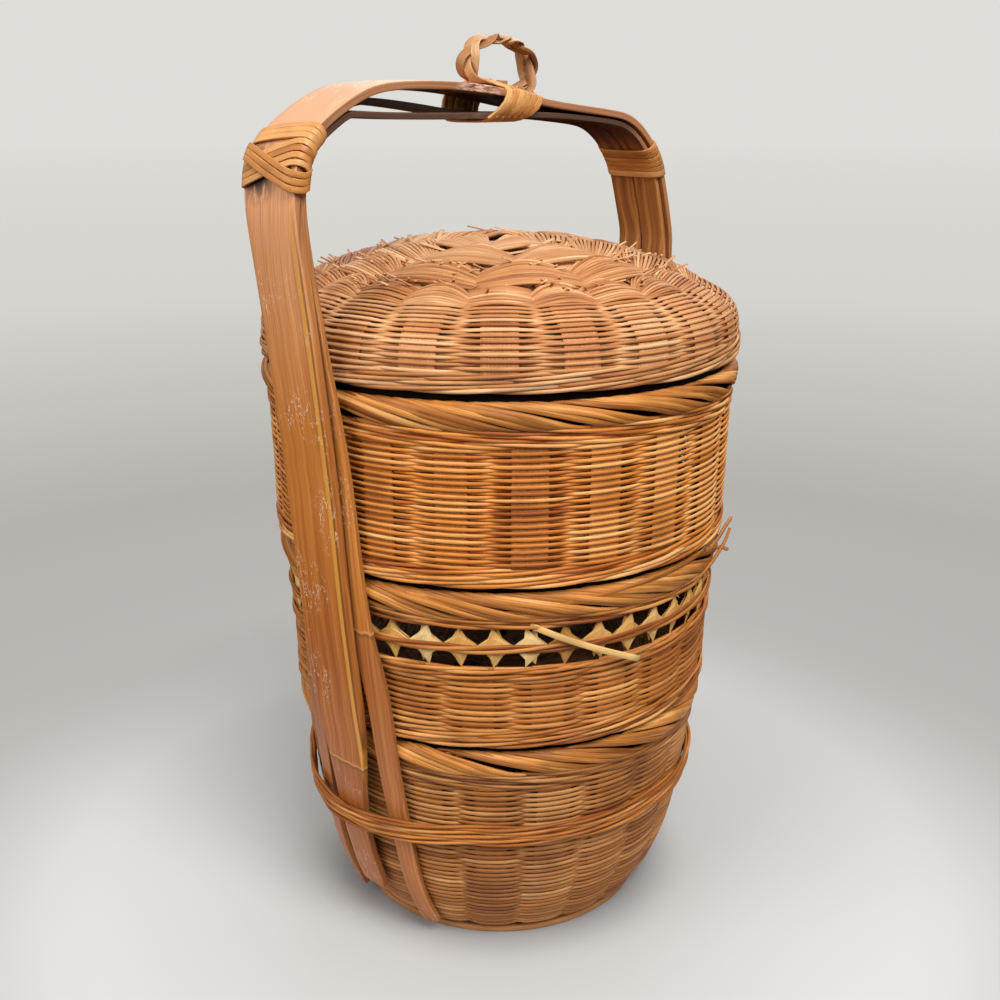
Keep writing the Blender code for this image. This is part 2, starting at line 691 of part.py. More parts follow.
def wide_face(height, lean):
    """Distance from the axis of the outer face of the wide strip, which lies over the narrow ones."""
    tilt = strip_tilt(height)
    half = inner_width(height) / 2
    over = narrow_face(height, lean) + half * math.sin(tilt) + STRIP_SPACING + OUTER_THICKNESS
    band = BINDING_BOTTOM + BINDING_HEIGHT / 2
    belly = TAIL_BELLY * max(0.0, 1 - abs(height - band) / (BASE.rim_top - band))
    tail = leg_outside(height, TAIL_STANDOFF + belly + OUTER_THICKNESS)
    apart = strip_sideways(height) - half * math.cos(tilt) - outer_width(height) / 2 - TAIL_STANDOFF
    beside = min(max(apart / OVERLAP_RUN, 0.0), 1.0)
    return over + (tail - over) * beside ** 2 * (3 - 2 * beside)


def leg_heights(low):
    """Heights at which a leg's strips are set out, from their lower end to the lid's edge."""
    return [low + (LEG_TOP - low) * index / LEG_LEVELS for index in range(LEG_LEVELS + 1)]


def arch(shares):
    """Points of the arch over the lid, from its shares."""
    left, right = LID_RADIUS + LEFT_SPREAD, LID_RADIUS + RIGHT_SPREAD
    return [Vector((side * (left if side < 0 else right), 0, LID_BOTTOM + HANDLE_RISE + ARCH_RISE * up))
            for side, up in shares]


def outer_line():
    """Fine points of the wide strip's outer face, from the left tail over the arch to the right tail."""
    heights = leg_heights(TAIL_END_HEIGHT)
    left = [Vector((-wide_face(height, LEFT_LEAN), 0, height)) for height in heights]
    right = [Vector((wide_face(height, 0.0), 0, height)) for height in heights]
    return smooth_curve(left + arch(OUTER_ARCH_SHARES) + right[::-1])


def inner_line(side, outer, drop_shares):
    """Fine points of a narrow strip's outer face, left to right; side is -1 for the front one."""
    left = [Vector((-narrow_face(height, LEFT_LEAN), side * strip_sideways(height), height))
            for height in leg_heights(INNER_END_HEIGHT)]
    right = [Vector((narrow_face(height, 0.0), side * strip_sideways(height), height))
             for height in leg_heights(INNER_END_HEIGHT)]
    across = Vector((0, 1, 0))
    drops = [tuple(point) for point in smooth_curve(drop_shares)]
    middle = []
    for place, direction in zip(outer, tangents(outer)):
        if place.z > LEG_TOP + STRIP_SPACING:
            reach = LID_RADIUS + (LEFT_SPREAD if place.x < 0 else RIGHT_SPREAD)
            drop = ARCH_RISE * along(drops, place.x / reach)
            inward = across.cross(direction) * (OUTER_THICKNESS + STRIP_SPACING + drop)
            middle.append(place + inward + side * across * strip_sideways(LEG_TOP))
    return left + middle + right[::-1]


# Handle: its pieces

def strip_section(place, across, outward, width, thickness):
    """Corners of a flat strip's cross-section whose outer face is slightly crowned."""
    edge = thickness * CROWN_SHARE
    half = width / 2
    corners = ((-half, -edge), (0.0, 0.0), (half, -edge), (half, -thickness), (-half, -thickness))
    return [place + across * side + outward * depth for side, depth in corners]


def outer_width(height):
    """Width of the wide strip, which narrows to a tail on the bottom tier."""
    line = [(TAIL_END_HEIGHT, TAIL_TIP_WIDTH), ((TAIL_END_HEIGHT + BINDING_BOTTOM) / 2, TAIL_WIDTH),
            (BINDING_BOTTOM + BINDING_HEIGHT, TAIL_WIDTH),
            (BASE.rim_bottom, SHOULDER_OF_TAIL_SHARE * OUTER_WIDTH),
            (BASE.rim_top + TIER_GAP, OUTER_WIDTH), (LID_TOP + LID_HEIGHT * 2, OUTER_WIDTH)]
    return along(line, height)


def inner_width(height):
    """Width of a narrow strip, which tapers towards its foot."""
    line = [(INNER_END_HEIGHT, INNER_FOOT_WIDTH), (BASE.rim_top, INNER_MIDDLE_SHARE * INNER_WIDTH),
            (TOP.bottom, INNER_WIDTH), (LID_TOP + LID_HEIGHT * 2, INNER_WIDTH)]
    return along(line, height)


def outer_sections():
    """Cross-sections of the wide strip that carries the basket."""
    line = resample(outer_line(), HANDLE_SECTIONS, HANDLE_BEND_LENGTH)
    across = Vector((0, 1, 0))
    return [strip_section(place, across, direction.cross(across), outer_width(place.z), OUTER_THICKNESS)
            for place, direction in zip(line, tangents(line))]


def inner_sections(side, outer, drop_shares):
    """Cross-sections of one of the two narrow strips under the wide one."""
    line = resample(inner_line(side, outer, drop_shares), HANDLE_SECTIONS, HANDLE_BEND_LENGTH)
    sections = []
    for place, direction in zip(line, tangents(line)):
        tilt = strip_tilt(place.z)
        across = Vector((-side * math.sin(tilt) * math.copysign(1, place.x), math.cos(tilt), 0))
        across = (across - direction * across.dot(direction)).normalized()
        outward = direction.cross(across)
        sections.append(strip_section(place, across, outward, inner_width(place.z), INNER_THICKNESS))
    return sections


def fine_corners(sections):
    """Corner points of a loft, close together along it."""
    found = []
    for section, after in zip(sections, sections[1:]):
        for step in range(CURVE_STEPS):
            found += [corner.lerp(match, step / CURVE_STEPS) for corner, match in zip(section, after)]
    return found


def stack_bounds(place, forward, outward, reach, corners):
    """Half width, top and bottom of the pieces that a lashing goes round, seen at one place."""
    near = [corner - place for corner in corners if abs((corner - place).dot(forward)) < reach]
    near = [offset for offset in near if offset.length < OUTER_WIDTH]
    heights = [offset.dot(outward) for offset in near]
    return max(abs(offset.y) for offset in near), max(heights), min(heights)


def lashing_place(index, half_width, top, bottom):
    """Place and outward direction (across, depth) of one point of a turn round the strips."""
    right, left = half_width - LASHING_CORNER, LASHING_CORNER - half_width
    high, low = top - LASHING_CORNER, bottom + LASHING_CORNER
    centres = [Vector((left, high)), Vector((right, high)), Vector((right, low)), Vector((left, low))]
    side = 0
    while index >= LASHING_SIDE_STEPS[side] + LASHING_CORNER_STEPS:
        index -= LASHING_SIDE_STEPS[side] + LASHING_CORNER_STEPS
        side += 1
    turned_by = -math.pi / 2 * side
    start, end = centres[side], centres[(side + 1) % len(centres)]
    if index < LASHING_SIDE_STEPS[side]:
        end = start.lerp(end, (index + 1) / (LASHING_SIDE_STEPS[side] + 1))
    else:
        turned_by -= math.pi / 2 * (index - LASHING_SIDE_STEPS[side]) / (LASHING_CORNER_STEPS - 1)
    outward = Vector((-math.sin(turned_by), math.cos(turned_by)))
    return end + outward * LASHING_CORNER, outward


def make_lashing(name, middle_x, width, pitch, loops, held, parent):
    """A flat cane wound round the handle strips as one unbroken strip."""
    line = resample([point for point in outer_line() if point.z > LEG_TOP], CURVE_STEPS * HANDLE_SECTIONS)
    directions = tangents(line)
    middle = min(range(len(line)), key=lambda index: abs(line[index].x - middle_x))
    step = (line[1] - line[0]).length
    proud = LASHING_FIT + LASHING_THICKNESS / 2
    corners = [corner for sections in held for corner in fine_corners(sections)]
    across = Vector((0, 1, 0))
    sections = []
    for index in range(loops * LOOP_POINTS):
        where = middle + (index / LOOP_POINTS - loops / 2) * pitch / step
        low = math.floor(where)
        place = line[low].lerp(line[low + 1], where - low)
        forward = directions[low].lerp(directions[low + 1], where - low).normalized()
        upward = forward.cross(across)
        half_width, top, bottom = stack_bounds(place, forward, upward, width, corners)
        spot, outward = lashing_place(index % LOOP_POINTS, half_width + proud, top + proud, bottom - proud)
        origin = place + across * spot.x + upward * spot.y
        skin = (across * outward.x + upward * outward.y) * LASHING_THICKNESS / 2
        edge = forward * width / 2
        sections.append([origin - edge - skin, origin - edge + skin, origin + edge + skin,
                         origin + edge - skin])
    print(f"{name}: least gap to itself {least_gap(sections) * 1000:.2f} mm")
    lofted(name, sections, LASHING, parent)


def least_gap(sections):
    """Least distance between the corners of neighbouring turns of a winding."""
    gap = OUTER_WIDTH
    for index, section in enumerate(sections):
        for other in sections[index + LOOP_POINTS - 3:index + LOOP_POINTS + 4]:
            for corner in section:
                gap = min([gap] + [(corner - match).length for match in other])
    return gap


def ring_sections(carried_by):
    """Cross-sections of the flat ring that stands on the arch with its foot under the middle lashing."""
    top = sorted((section[1].x, section[1].z) for section in carried_by if section[1].z > LEG_TOP)
    lift = STRIP_SPACING + RING_THICKNESS / 2
    foot = [RING_X + share * RING_HALF_SPAN for share in RING_FOOT_SHARES]
    points = [Vector((place, 0, along(top, place) + lift)) for place in foot]
    middle = along(top, RING_X) + lift
    points += [Vector((RING_X + side * RING_HALF_SPAN, 0, middle + RING_RISE * up))
               for side, up in RING_OUTLINE_SHARES]
    fine = smooth_curve(points, closed=True)
    line = resample(fine + [fine[0]], RING_STEPS)[:-1]
    sections = []
    for place, direction in zip(line, tangents(line, closed=True)):
        outward = direction.cross(Vector((0, 1, 0))) * RING_THICKNESS / 2
        edge = Vector((0, RING_WIDTH / 2, 0))
        sections.append([place - edge + outward, place + edge + outward, place + edge - outward,
                         place - edge - outward])
    return sections


def make_handle(parent):
    """The handle strips, their lashings, the carrying ring and the band that ties them to the base."""
    outer = outer_sections()
    front = inner_sections(-1, outer_line(), FRONT_DROP_SHARES)
    back = inner_sections(1, outer_line(), BACK_DROP_SHARES)
    ring = ring_sections(outer)
    foot_top = min(section[0].z for section in ring) + RING_RISE / 4
    foot = [section for section in ring if section[0].z < foot_top]
    strips = [outer, front, back]
    lofted("handle_outer_strip", outer, BAMBOO, parent)
    lofted("handle_inner_strip_front", front, BAMBOO, parent)
    lofted("handle_inner_strip_back", back, BAMBOO, parent)
    lofted("carrying_ring", ring, CANE_LIGHT, parent, closed=True)
    left, right = -LID_RADIUS - LEFT_SPREAD, LID_RADIUS + RIGHT_SPREAD
    make_lashing("left_shoulder_lashing", LEFT_LASHING_SHARE * left, LEFT_LASHING_WIDTH,
                 LEFT_LASHING_PITCH, SHOULDER_LASHING_LOOPS, strips, parent)
    make_lashing("right_shoulder_lashing", RIGHT_LASHING_SHARE * right, RIGHT_LASHING_WIDTH,
                 RIGHT_LASHING_PITCH, SHOULDER_LASHING_LOOPS, strips, parent)
    make_lashing("centre_lashing", CENTRE_LASHING_X, CENTRE_LASHING_WIDTH, CENTRE_LASHING_PITCH,
                 CENTRE_LASHING_LOOPS, strips + [foot], parent)
    make_binding_band(strips, parent)


def make_binding_band(strips, parent):
    """The twined band that ties the ends of the handle strips to the bottom tier."""
    low, high = BINDING_BOTTOM, BINDING_BOTTOM + BINDING_HEIGHT
    steps = 2 * RING_STEPS
    bulge = [0.0] * steps
    for corner in [corner for sections in strips for corner in fine_corners(sections)]:
        if low - BINDING_HEIGHT / 2 < corner.z < high + BINDING_HEIGHT / 2:
            proud = math.hypot(corner.x, corner.y) - BASE.radius(corner.z)
            nearest = math.atan2(corner.y, corner.x) / math.tau * steps
            for index in range(math.floor(nearest - 0.5), math.ceil(nearest + 0.5) + 1):
                bulge[index % steps] = max(bulge[index % steps], proud)
    sections = []
    for index in range(steps):
        angle = math.tau * index / steps
        ring = []
        for height, extra in ((high, 0.0), (high, 1.0), (low, 1.0), (low, 0.0)):
            radius = BASE.radius(height) + bulge[index] + HANDLE_CLEARANCE + extra * BINDING_THICKNESS
            ring.append((radius * math.cos(angle), radius * math.sin(angle), height))
        sections.append(ring)
    lofted("base_binding_band", sections, CANE, parent, closed=True)


LOOP_POINTS = sum(LASHING_SIDE_STEPS) + len(LASHING_SIDE_STEPS) * LASHING_CORNER_STEPS
LEG_LINE = leg_line()

clear_scene()
BASKET = make_collection("tiered_bamboo_food_basket")
CANE = make_material("woven cane", (0.48, 0.24, 0.09), 0.55)
CANE_LIGHT = make_material("border cane", (0.58, 0.31, 0.13), 0.5)
CANE_DARK = make_material("floor cane", (0.36, 0.17, 0.07), 0.6)
CANE_PINK = make_material("lid cane", (0.55, 0.30, 0.17), 0.55)
SPLINT = make_material("bamboo splint", (0.40, 0.20, 0.08), 0.6)
STRAW = make_material("pale bamboo skin", (0.68, 0.48, 0.2), 0.5)
BAMBOO = make_material("bent bamboo", (0.45, 0.18, 0.07), 0.35)
LASHING = make_material("lashing cane", (0.56, 0.32, 0.08), 0.45)

BASE_BODY = add_body("base_body", 0.0, None)
MIDDLE_BODY = add_body("middle_body", MIDDLE.bottom, BASE_BODY)
TOP_BODY = add_body("top_body", TOP.bottom, MIDDLE_BODY)
LID_BODY = add_body("lid_body", LID_BOTTOM, TOP_BODY)

make_base(BASE_BODY)
make_middle(MIDDLE_BODY)
make_top(TOP_BODY)
make_lid(LID_BODY)
make_handle(BASE_BODY)
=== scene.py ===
import math
from collections import namedtuple

import bmesh
import bpy
import numpy as np
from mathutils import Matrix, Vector
from mathutils.bvhtree import BVHTree


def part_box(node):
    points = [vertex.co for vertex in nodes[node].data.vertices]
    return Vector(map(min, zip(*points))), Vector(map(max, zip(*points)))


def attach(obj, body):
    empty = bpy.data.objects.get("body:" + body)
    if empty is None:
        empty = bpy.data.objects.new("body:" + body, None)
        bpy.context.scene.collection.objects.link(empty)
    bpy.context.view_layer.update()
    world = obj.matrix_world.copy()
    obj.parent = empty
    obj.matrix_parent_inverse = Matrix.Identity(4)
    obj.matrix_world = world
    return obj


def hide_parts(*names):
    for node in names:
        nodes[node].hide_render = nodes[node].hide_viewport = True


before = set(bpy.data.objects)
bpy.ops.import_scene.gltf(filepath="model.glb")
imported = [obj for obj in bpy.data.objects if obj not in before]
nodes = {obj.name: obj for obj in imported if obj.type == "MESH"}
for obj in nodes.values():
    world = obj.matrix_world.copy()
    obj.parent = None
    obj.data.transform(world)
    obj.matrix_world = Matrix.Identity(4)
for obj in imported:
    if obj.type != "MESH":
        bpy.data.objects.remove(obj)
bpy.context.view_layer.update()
scene = bpy.context.scene

# ---------------------------------------------------------------- camera
VIEW_TURN = math.radians(-48.0)
VIEW_DISTANCE = 0.638
VIEW_HEIGHT = 0.432
VIEW_PITCH = math.radians(18.1)
LENS = 43.2
SENSOR_WIDTH = 36.0

camera = bpy.data.objects.new("camera", bpy.data.cameras.new("camera"))
camera.data.lens = LENS
camera.data.sensor_width = SENSOR_WIDTH
camera.location = (VIEW_DISTANCE * math.sin(VIEW_TURN), -VIEW_DISTANCE * math.cos(VIEW_TURN),
                   VIEW_HEIGHT)
camera.rotation_euler = (math.pi / 2 - VIEW_PITCH, 0.0, VIEW_TURN)
scene.collection.objects.link(camera)
scene.camera = camera
scene.view_settings.view_transform = "Standard"

# ---------------------------------------------------------------- the weave, sizes in metres
STAKES = 21
SPACING = math.tau / STAKES
STEPS = 8                   # points of a cane from one stake to the next
ROW_PITCH = 0.00157
CANE_WIDTH = 0.00195
CANE_THICKNESS = 0.00130
CANE_SWING = 0.00125        # how far a cane goes out and in past the stakes
CANE_GRIP = 1.15            # how sharply it bends between them
CANE_WANDER = 0.00010       # how far it strays from its row
WALL_DEPTH = 0.0018         # from the outline in to the stakes
STAKE_WIDTH = 0.0162
STAKE_THICKNESS = 0.0011
GRAIN_SHIFT = 0.5           # up to where the grain of a strand starts, so that no two are alike

# Cross-sections of a strand, as shares of its width and thickness, anticlockwise
ROUND_CANE = [(0.5, 0.0), (0.28, 0.42), (-0.28, 0.42), (-0.5, 0.0), (-0.28, -0.42), (0.28, -0.42)]
FLAT_SPLINT = [(0.5, -0.35), (0.5, 0.15), (0.4, 0.42), (0.0, 0.5), (-0.4, 0.42), (-0.5, 0.15),
               (-0.5, -0.35), (0.0, -0.45)]
CUT_BAND = [(0.5, -0.4), (0.5, 0.25), (0.45, 0.45), (0.36, 0.5), (0.0, 0.5), (-0.36, 0.5),
            (-0.45, 0.45), (-0.5, 0.25), (-0.5, -0.4)]

# The outline of each tier and of the lid, as (radius, height) from the bottom up
BASE_LINE = [(0.0800, 0.0), (0.0870, 0.008), (0.0930, 0.018), (0.0990, 0.033), (0.1033, 0.048),
             (0.1060, 0.062), (0.1078, 0.076), (0.1096, 0.092), (0.1112, 0.106), (0.1135, 0.1285)]
MIDDLE_LINE = [(0.1155, 0.1325), (0.1164, 0.170), (0.1173, 0.197), (0.1200, 0.216)]
TOP_LINE = [(0.1223, 0.220), (0.1232, 0.288), (0.1248, 0.309)]
LID_LINE = [(0.1258, 0.313), (0.1258, 0.321), (0.1256, 0.3282), (0.1240, 0.3344), (0.1200, 0.3396),
            (0.1140, 0.3435), (0.1040, 0.3483), (0.0940, 0.3524), (0.0830, 0.3556),
            (0.0620, 0.3616), (0.0420, 0.3651), (0.0210, 0.3670), (0.0, 0.3680)]


def around_axis(radius, angle, height):
    """Points at a radius and a height, turned to their angles about the basket's axis."""
    return np.stack([radius * np.cos(angle), radius * np.sin(angle),
                     height * np.ones_like(angle)], 1)


def lengths_along(line):
    """Distance along a flat line of each of its points from the first."""
    return np.concatenate([[0.0], np.cumsum(np.hypot(*np.diff(line, axis=0).T))])


def bell(places, width):
    """Weights of a bell curve at some places, adding up to one."""
    weights = np.exp(-0.5 * (places / width) ** 2)
    return weights / weights.sum()


class Meridian:
    """A smooth outline: its radius, height and normal at any distance along it from its bottom."""

    SOFTNESS = 0.0025       # how far its corners are rounded
    STEP = 0.0002           # between the points that are kept
    SLOPE_REACH = 0.0006    # how far to each side its slope is taken

    def __init__(self, points):
        corners = np.array(points, float)
        runs = np.hypot(*np.diff(corners, axis=0).T)
        pad = 4 * self.SOFTNESS
        before = corners[0] - (corners[1] - corners[0]) / runs[0] * pad
        after = corners[-1] + (corners[-1] - corners[-2]) / runs[-1] * pad
        marks = lengths_along(corners)
        marks = np.concatenate([[-pad], marks, [marks[-1] + pad]])
        corners = np.vstack([before, corners, after])
        fine = np.arange(-pad, marks[-1], self.STEP)
        window = bell(np.arange(-pad, pad, self.STEP), self.SOFTNESS)
        keep = (fine >= 0) & (fine <= marks[-1] - pad)
        self.radius, self.height = (
            np.convolve(np.interp(fine, marks, corners[:, axis]), window, "same")[keep]
            for axis in range(2))
        self.marks = lengths_along(np.stack([self.radius, self.height], 1))
        self.length = self.marks[-1]

    def spot(self, where):
        """Radius and height at a distance along the line."""
        return np.interp(where, self.marks, self.radius), np.interp(where, self.marks, self.height)

    def at(self, where):
        """Radius and height at a distance along the line, and its outward normal there."""
        radius, height = self.spot(where)
        ahead, behind = self.spot(where + self.SLOPE_REACH), self.spot(where - self.SLOPE_REACH)
        run, rise = ahead[0] - behind[0], ahead[1] - behind[1]
        size = np.hypot(run, rise)
        return radius, height, rise / size, -run / size

    def at_height(self, height):
        """Distance along the line at a height, on a line that only climbs."""
        return float(np.interp(height, self.height, self.marks))

    def at_heights(self, *heights):
        """Distances along the line at some heights."""
        return [self.at_height(height) for height in heights]

    def at_radius(self, radius):
        """Distance along the line at a radius, on a line that only closes in."""
        return float(np.interp(-radius, -self.radius, self.marks))

    def place(self, where, angle, out):
        """Points and normals on the line turned to an angle and moved out along its normal."""
        radius, height, out_radius, out_height = self.at(where)
        points = around_axis(radius + out_radius * out, angle, height + out_height * out)
        return points, around_axis(out_radius, angle, out_height)


# ---------------------------------------------------------------- materials
WAVE_TO_UNIT = 0.314        # the scale at which a wave texture has one band to a unit


def shade(code):
    """Linear colour of an sRGB hex value."""
    parts = [int(code[index:index + 2], 16) / 255 for index in (0, 2, 4)]
    return [part / 12.92 if part <= 0.04045 else ((part + 0.055) / 1.055) ** 2.4
            for part in parts] + [1.0]


def add(tree, kind, values=None, links=None, stops=None, **options):
    """Adds a node with its options, its fixed values, its links and, on a ramp, its stops."""
    made = tree.nodes.new(kind)
    for name, option in options.items():
        setattr(made, name, option)
    for name, value in (values or {}).items():
        made.inputs[name].default_value = value
    for name, source in (links or {}).items():
        tree.links.new(source, made.inputs[name])
    for index, (position, code) in enumerate(stops or []):
        elements = made.color_ramp.elements
        element = elements[index] if index < 2 else elements.new(position)
        element.position = position
        element.color = shade(code)
    return made


def new_material(name):
    """An empty node material with its output."""
    material = bpy.data.materials.new(name)
    material.use_nodes = True
    material.node_tree.nodes.clear()
    return (material, material.node_tree,
            material.node_tree.nodes.new("ShaderNodeOutputMaterial"))


def cane(name, dark, middle, light, stain, fibre=0.00035, run=0.011, roughness=(0.40, 0.62),
         relief=0.00006, streaks=0.5, ticks=0.0, shine=0.32):
    """Split cane: long fibres of alternate shades, blotches, a satin skin, and cross ticks where
    it is scraped. Fibres, their runs and ticks are in metres, and wider than real where a real
    one would be too fine to show."""
    material, tree, output = new_material(name)
    flat = add(tree, "ShaderNodeUVMap", uv_map="UVMap").outputs["UV"]
    tint = add(tree, "ShaderNodeAttribute", attribute_name="tint").outputs["Fac"]
    spot = add(tree, "ShaderNodeTexCoord").outputs["Object"]
    stretched = add(tree, "ShaderNodeMapping", {"Scale": (1 / run, 1 / fibre, 1.0)},
                    {"Vector": flat})
    fibres = add(tree, "ShaderNodeTexNoise", {"Scale": 1.0, "Detail": 2.0, "Roughness": 0.6},
                 {"Vector": stretched.outputs[0]}, noise_dimensions="2D").outputs[0]
    patches = add(tree, "ShaderNodeTexNoise", {"Scale": 38.0, "Detail": 2.0}, {"Vector": spot})

    # The strand's own tint, with its fibres about it
    grain = add(tree, "ShaderNodeMath", {1: streaks}, {0: fibres}, operation="MULTIPLY")
    mixed = add(tree, "ShaderNodeMath", None, {0: grain.outputs[0], 1: tint}, operation="ADD")
    level = add(tree, "ShaderNodeMath", {1: 0.5 * streaks}, {0: mixed.outputs[0]},
                operation="SUBTRACT")
    colour = add(tree, "ShaderNodeValToRGB", None, {"Fac": level.outputs[0]},
                 [(0.12, dark), (0.5, middle), (0.88, light)])
    worn = add(tree, "ShaderNodeMapRange", {"From Min": 0.50, "From Max": 0.78, "To Max": 0.55},
               {"Value": patches.outputs[0]})
    colour = add(tree, "ShaderNodeMix", {7: shade(stain)},
                 {0: worn.outputs[0], 6: colour.outputs[0]}, data_type="RGBA").outputs[2]
    height = fibres
    if ticks:
        across = add(tree, "ShaderNodeMapping", {"Scale": (60.0, 1 / ticks, 1.0)},
                     {"Vector": flat})
        height = add(tree, "ShaderNodeTexWave",
                     {"Scale": WAVE_TO_UNIT, "Distortion": 1.2, "Detail": 1.0, "Detail Scale": 3.0},
                     {"Vector": across.outputs[0]}, bands_direction="Y").outputs[1]
        colour = add(tree, "ShaderNodeMix", {7: shade("B87840")}, {0: height, 6: colour},
                     data_type="RGBA", blend_type="MULTIPLY").outputs[2]

    gloss = add(tree, "ShaderNodeMapRange", {"To Min": roughness[0], "To Max": roughness[1]},
                {"Value": fibres})
    bump = add(tree, "ShaderNodeBump", {"Strength": 0.7, "Distance": relief}, {"Height": height})
    skin = add(tree, "ShaderNodeBsdfPrincipled", {"IOR": 1.5, "Specular IOR Level": shine},
               {"Base Color": colour, "Roughness": gloss.outputs[0], "Normal": bump.outputs[0]})
    tree.links.new(skin.outputs[0], output.inputs[0])
    return material


# Woven rattan cane, oiled by age: satin orange-brown with pale outer fibres
TOP_CANE = cane("rattan_cane_aged_woven", "8E420E", "CC7C2E", "F4BE78", "8A4412")
# The same cane on the middle tier, redder and darker
LOW_CANE = cane("rattan_cane_dark_woven", "70320A", "AE6622", "DC9F5A", "682E0E")
# The cane of the lowest tier, darker and duller still
BASE_CANE = cane("rattan_cane_darkest_woven", "64300E", "9C6028", "CC965C", "5C2C12")
# Fine split cane of the lid, faded to a pinkish tan with a few cream strands
LID_CANE = cane("split_cane_faded_woven", "86461E", "BC7E48", "EABE8C", "8E5130")
# Flat split rattan of the rolled edges, smooth with long grain lines
EDGE_CANE = cane("split_rattan_rolled", "7C420F", "C47C34", "F0B66C", "6C4016", fibre=0.0008,
                 run=0.03, streaks=0.6)
# Broad bamboo splints of the stakes, scraped flat, with fine ribs across
STAKE_SPLINT = cane("bamboo_splint_scraped", "96581C", "D09044", "EEC07C", "80481A",
                    fibre=0.0006, ticks=0.00055, relief=0.00010)
# The same splints in the lid, bleached to cream
LID_SPLINT = cane("bamboo_splint_bleached", "B4703C", "EAAC70", "FCD8A6", "A4643A", fibre=0.0006,
                  ticks=0.00055, relief=0.00010)
# Pale bamboo inner skin, folded for the openwork, glossy and yellow
PALE_SKIN = cane("bamboo_skin_pale_folded", "A06C2C", "DAA65C", "F2D498", "9A6228", fibre=0.0005,
                 run=0.02, roughness=(0.32, 0.5))
# Cane of the lashings, varnished golden brown
TIE_CANE = cane("cane_lashing_varnished", "80461C", "BC7A38", "E8B272", "683818", fibre=0.0006,
                run=0.02, roughness=(0.30, 0.5))
# Straw-coloured flat splints over the crown of the lid
STRAW_SPLINT = cane("bamboo_splint_straw", "985A2D", "C48A56", "E8BE90", "98633A", fibre=0.0005,
                    run=0.016)
# Flat splints of the carrying ring, weathered to a dull tan
RING_SPLINT = cane("bamboo_splint_plaited", "8A5A34", "B98556", "DDB488", "6E4428", fibre=0.0006,
                   run=0.02)
# Split bamboo of the floors and of the hoop inside the lid, dull and brown
HOOP_BAMBOO = cane("split_bamboo_hoop", "6E4420", "946235", "B98850", "5A3818", fibre=0.0008,
                   run=0.03, roughness=(0.5, 0.7))
# The hoop of the foot, scuffed to a pale tan
FOOT_HOOP = cane("split_bamboo_scuffed", "7A4C28", "A87244", "C89462", "5E3A1E", fibre=0.0008,
                 run=0.03)
# The collars, painted a near-black brown as the shade in the gap under each rim
SHADE_BLACK_HOOP = cane("split_bamboo_painted_shade", "0C0603", "160C06", "26170D", "100905", fibre=0.0008,
                   run=0.03, roughness=(0.55, 0.75), shine=0.05)


# ---------------------------------------------------------------- how a piece is finished
def lay_map(mesh, places):
    """Gives a mesh its UV map in metres, with a place for each corner of its faces."""
    layer = mesh.uv_layers.active or mesh.uv_layers.new(name="UVMap")
    layer.name = "UVMap"
    layer.data.foreach_set("uv", np.asarray(places).ravel())


def mark_points(mesh, name, values):
    """Keeps a value at each point of a mesh, which its material reads."""
    mesh.attributes.new(name, "FLOAT", "POINT").data.foreach_set("value", values)


def round_shading(mesh):
    """Shades a mesh as one smooth surface."""
    mesh.polygons.foreach_set("use_smooth", np.ones(len(mesh.polygons), bool))


def put_in_scene(name, mesh):
    """A new piece made of a mesh."""
    piece = bpy.data.objects.new(name, mesh)
    scene.collection.objects.link(piece)
    return piece


def take_up(piece):
    """Selects one piece alone for the operators."""
    bpy.ops.object.select_all(action="DESELECT")
    piece.select_set(True)
    bpy.context.view_layer.objects.active = piece


def thicken_inwards(piece, thickness):
    """Gives a sheet its thickness on its inner side."""
    thicken = piece.modifiers.new("thickness", "SOLIDIFY")
    thicken.thickness = thickness
    thicken.offset = -1.0
    bpy.ops.object.modifier_apply(modifier="thickness")


def hand_over(piece, material, body, replaced):
    """Gives a piece its material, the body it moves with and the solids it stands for."""
    piece.data.materials.clear()
    piece.data.materials.append(material)
    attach(piece, body)
    if replaced:
        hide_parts(*replaced)


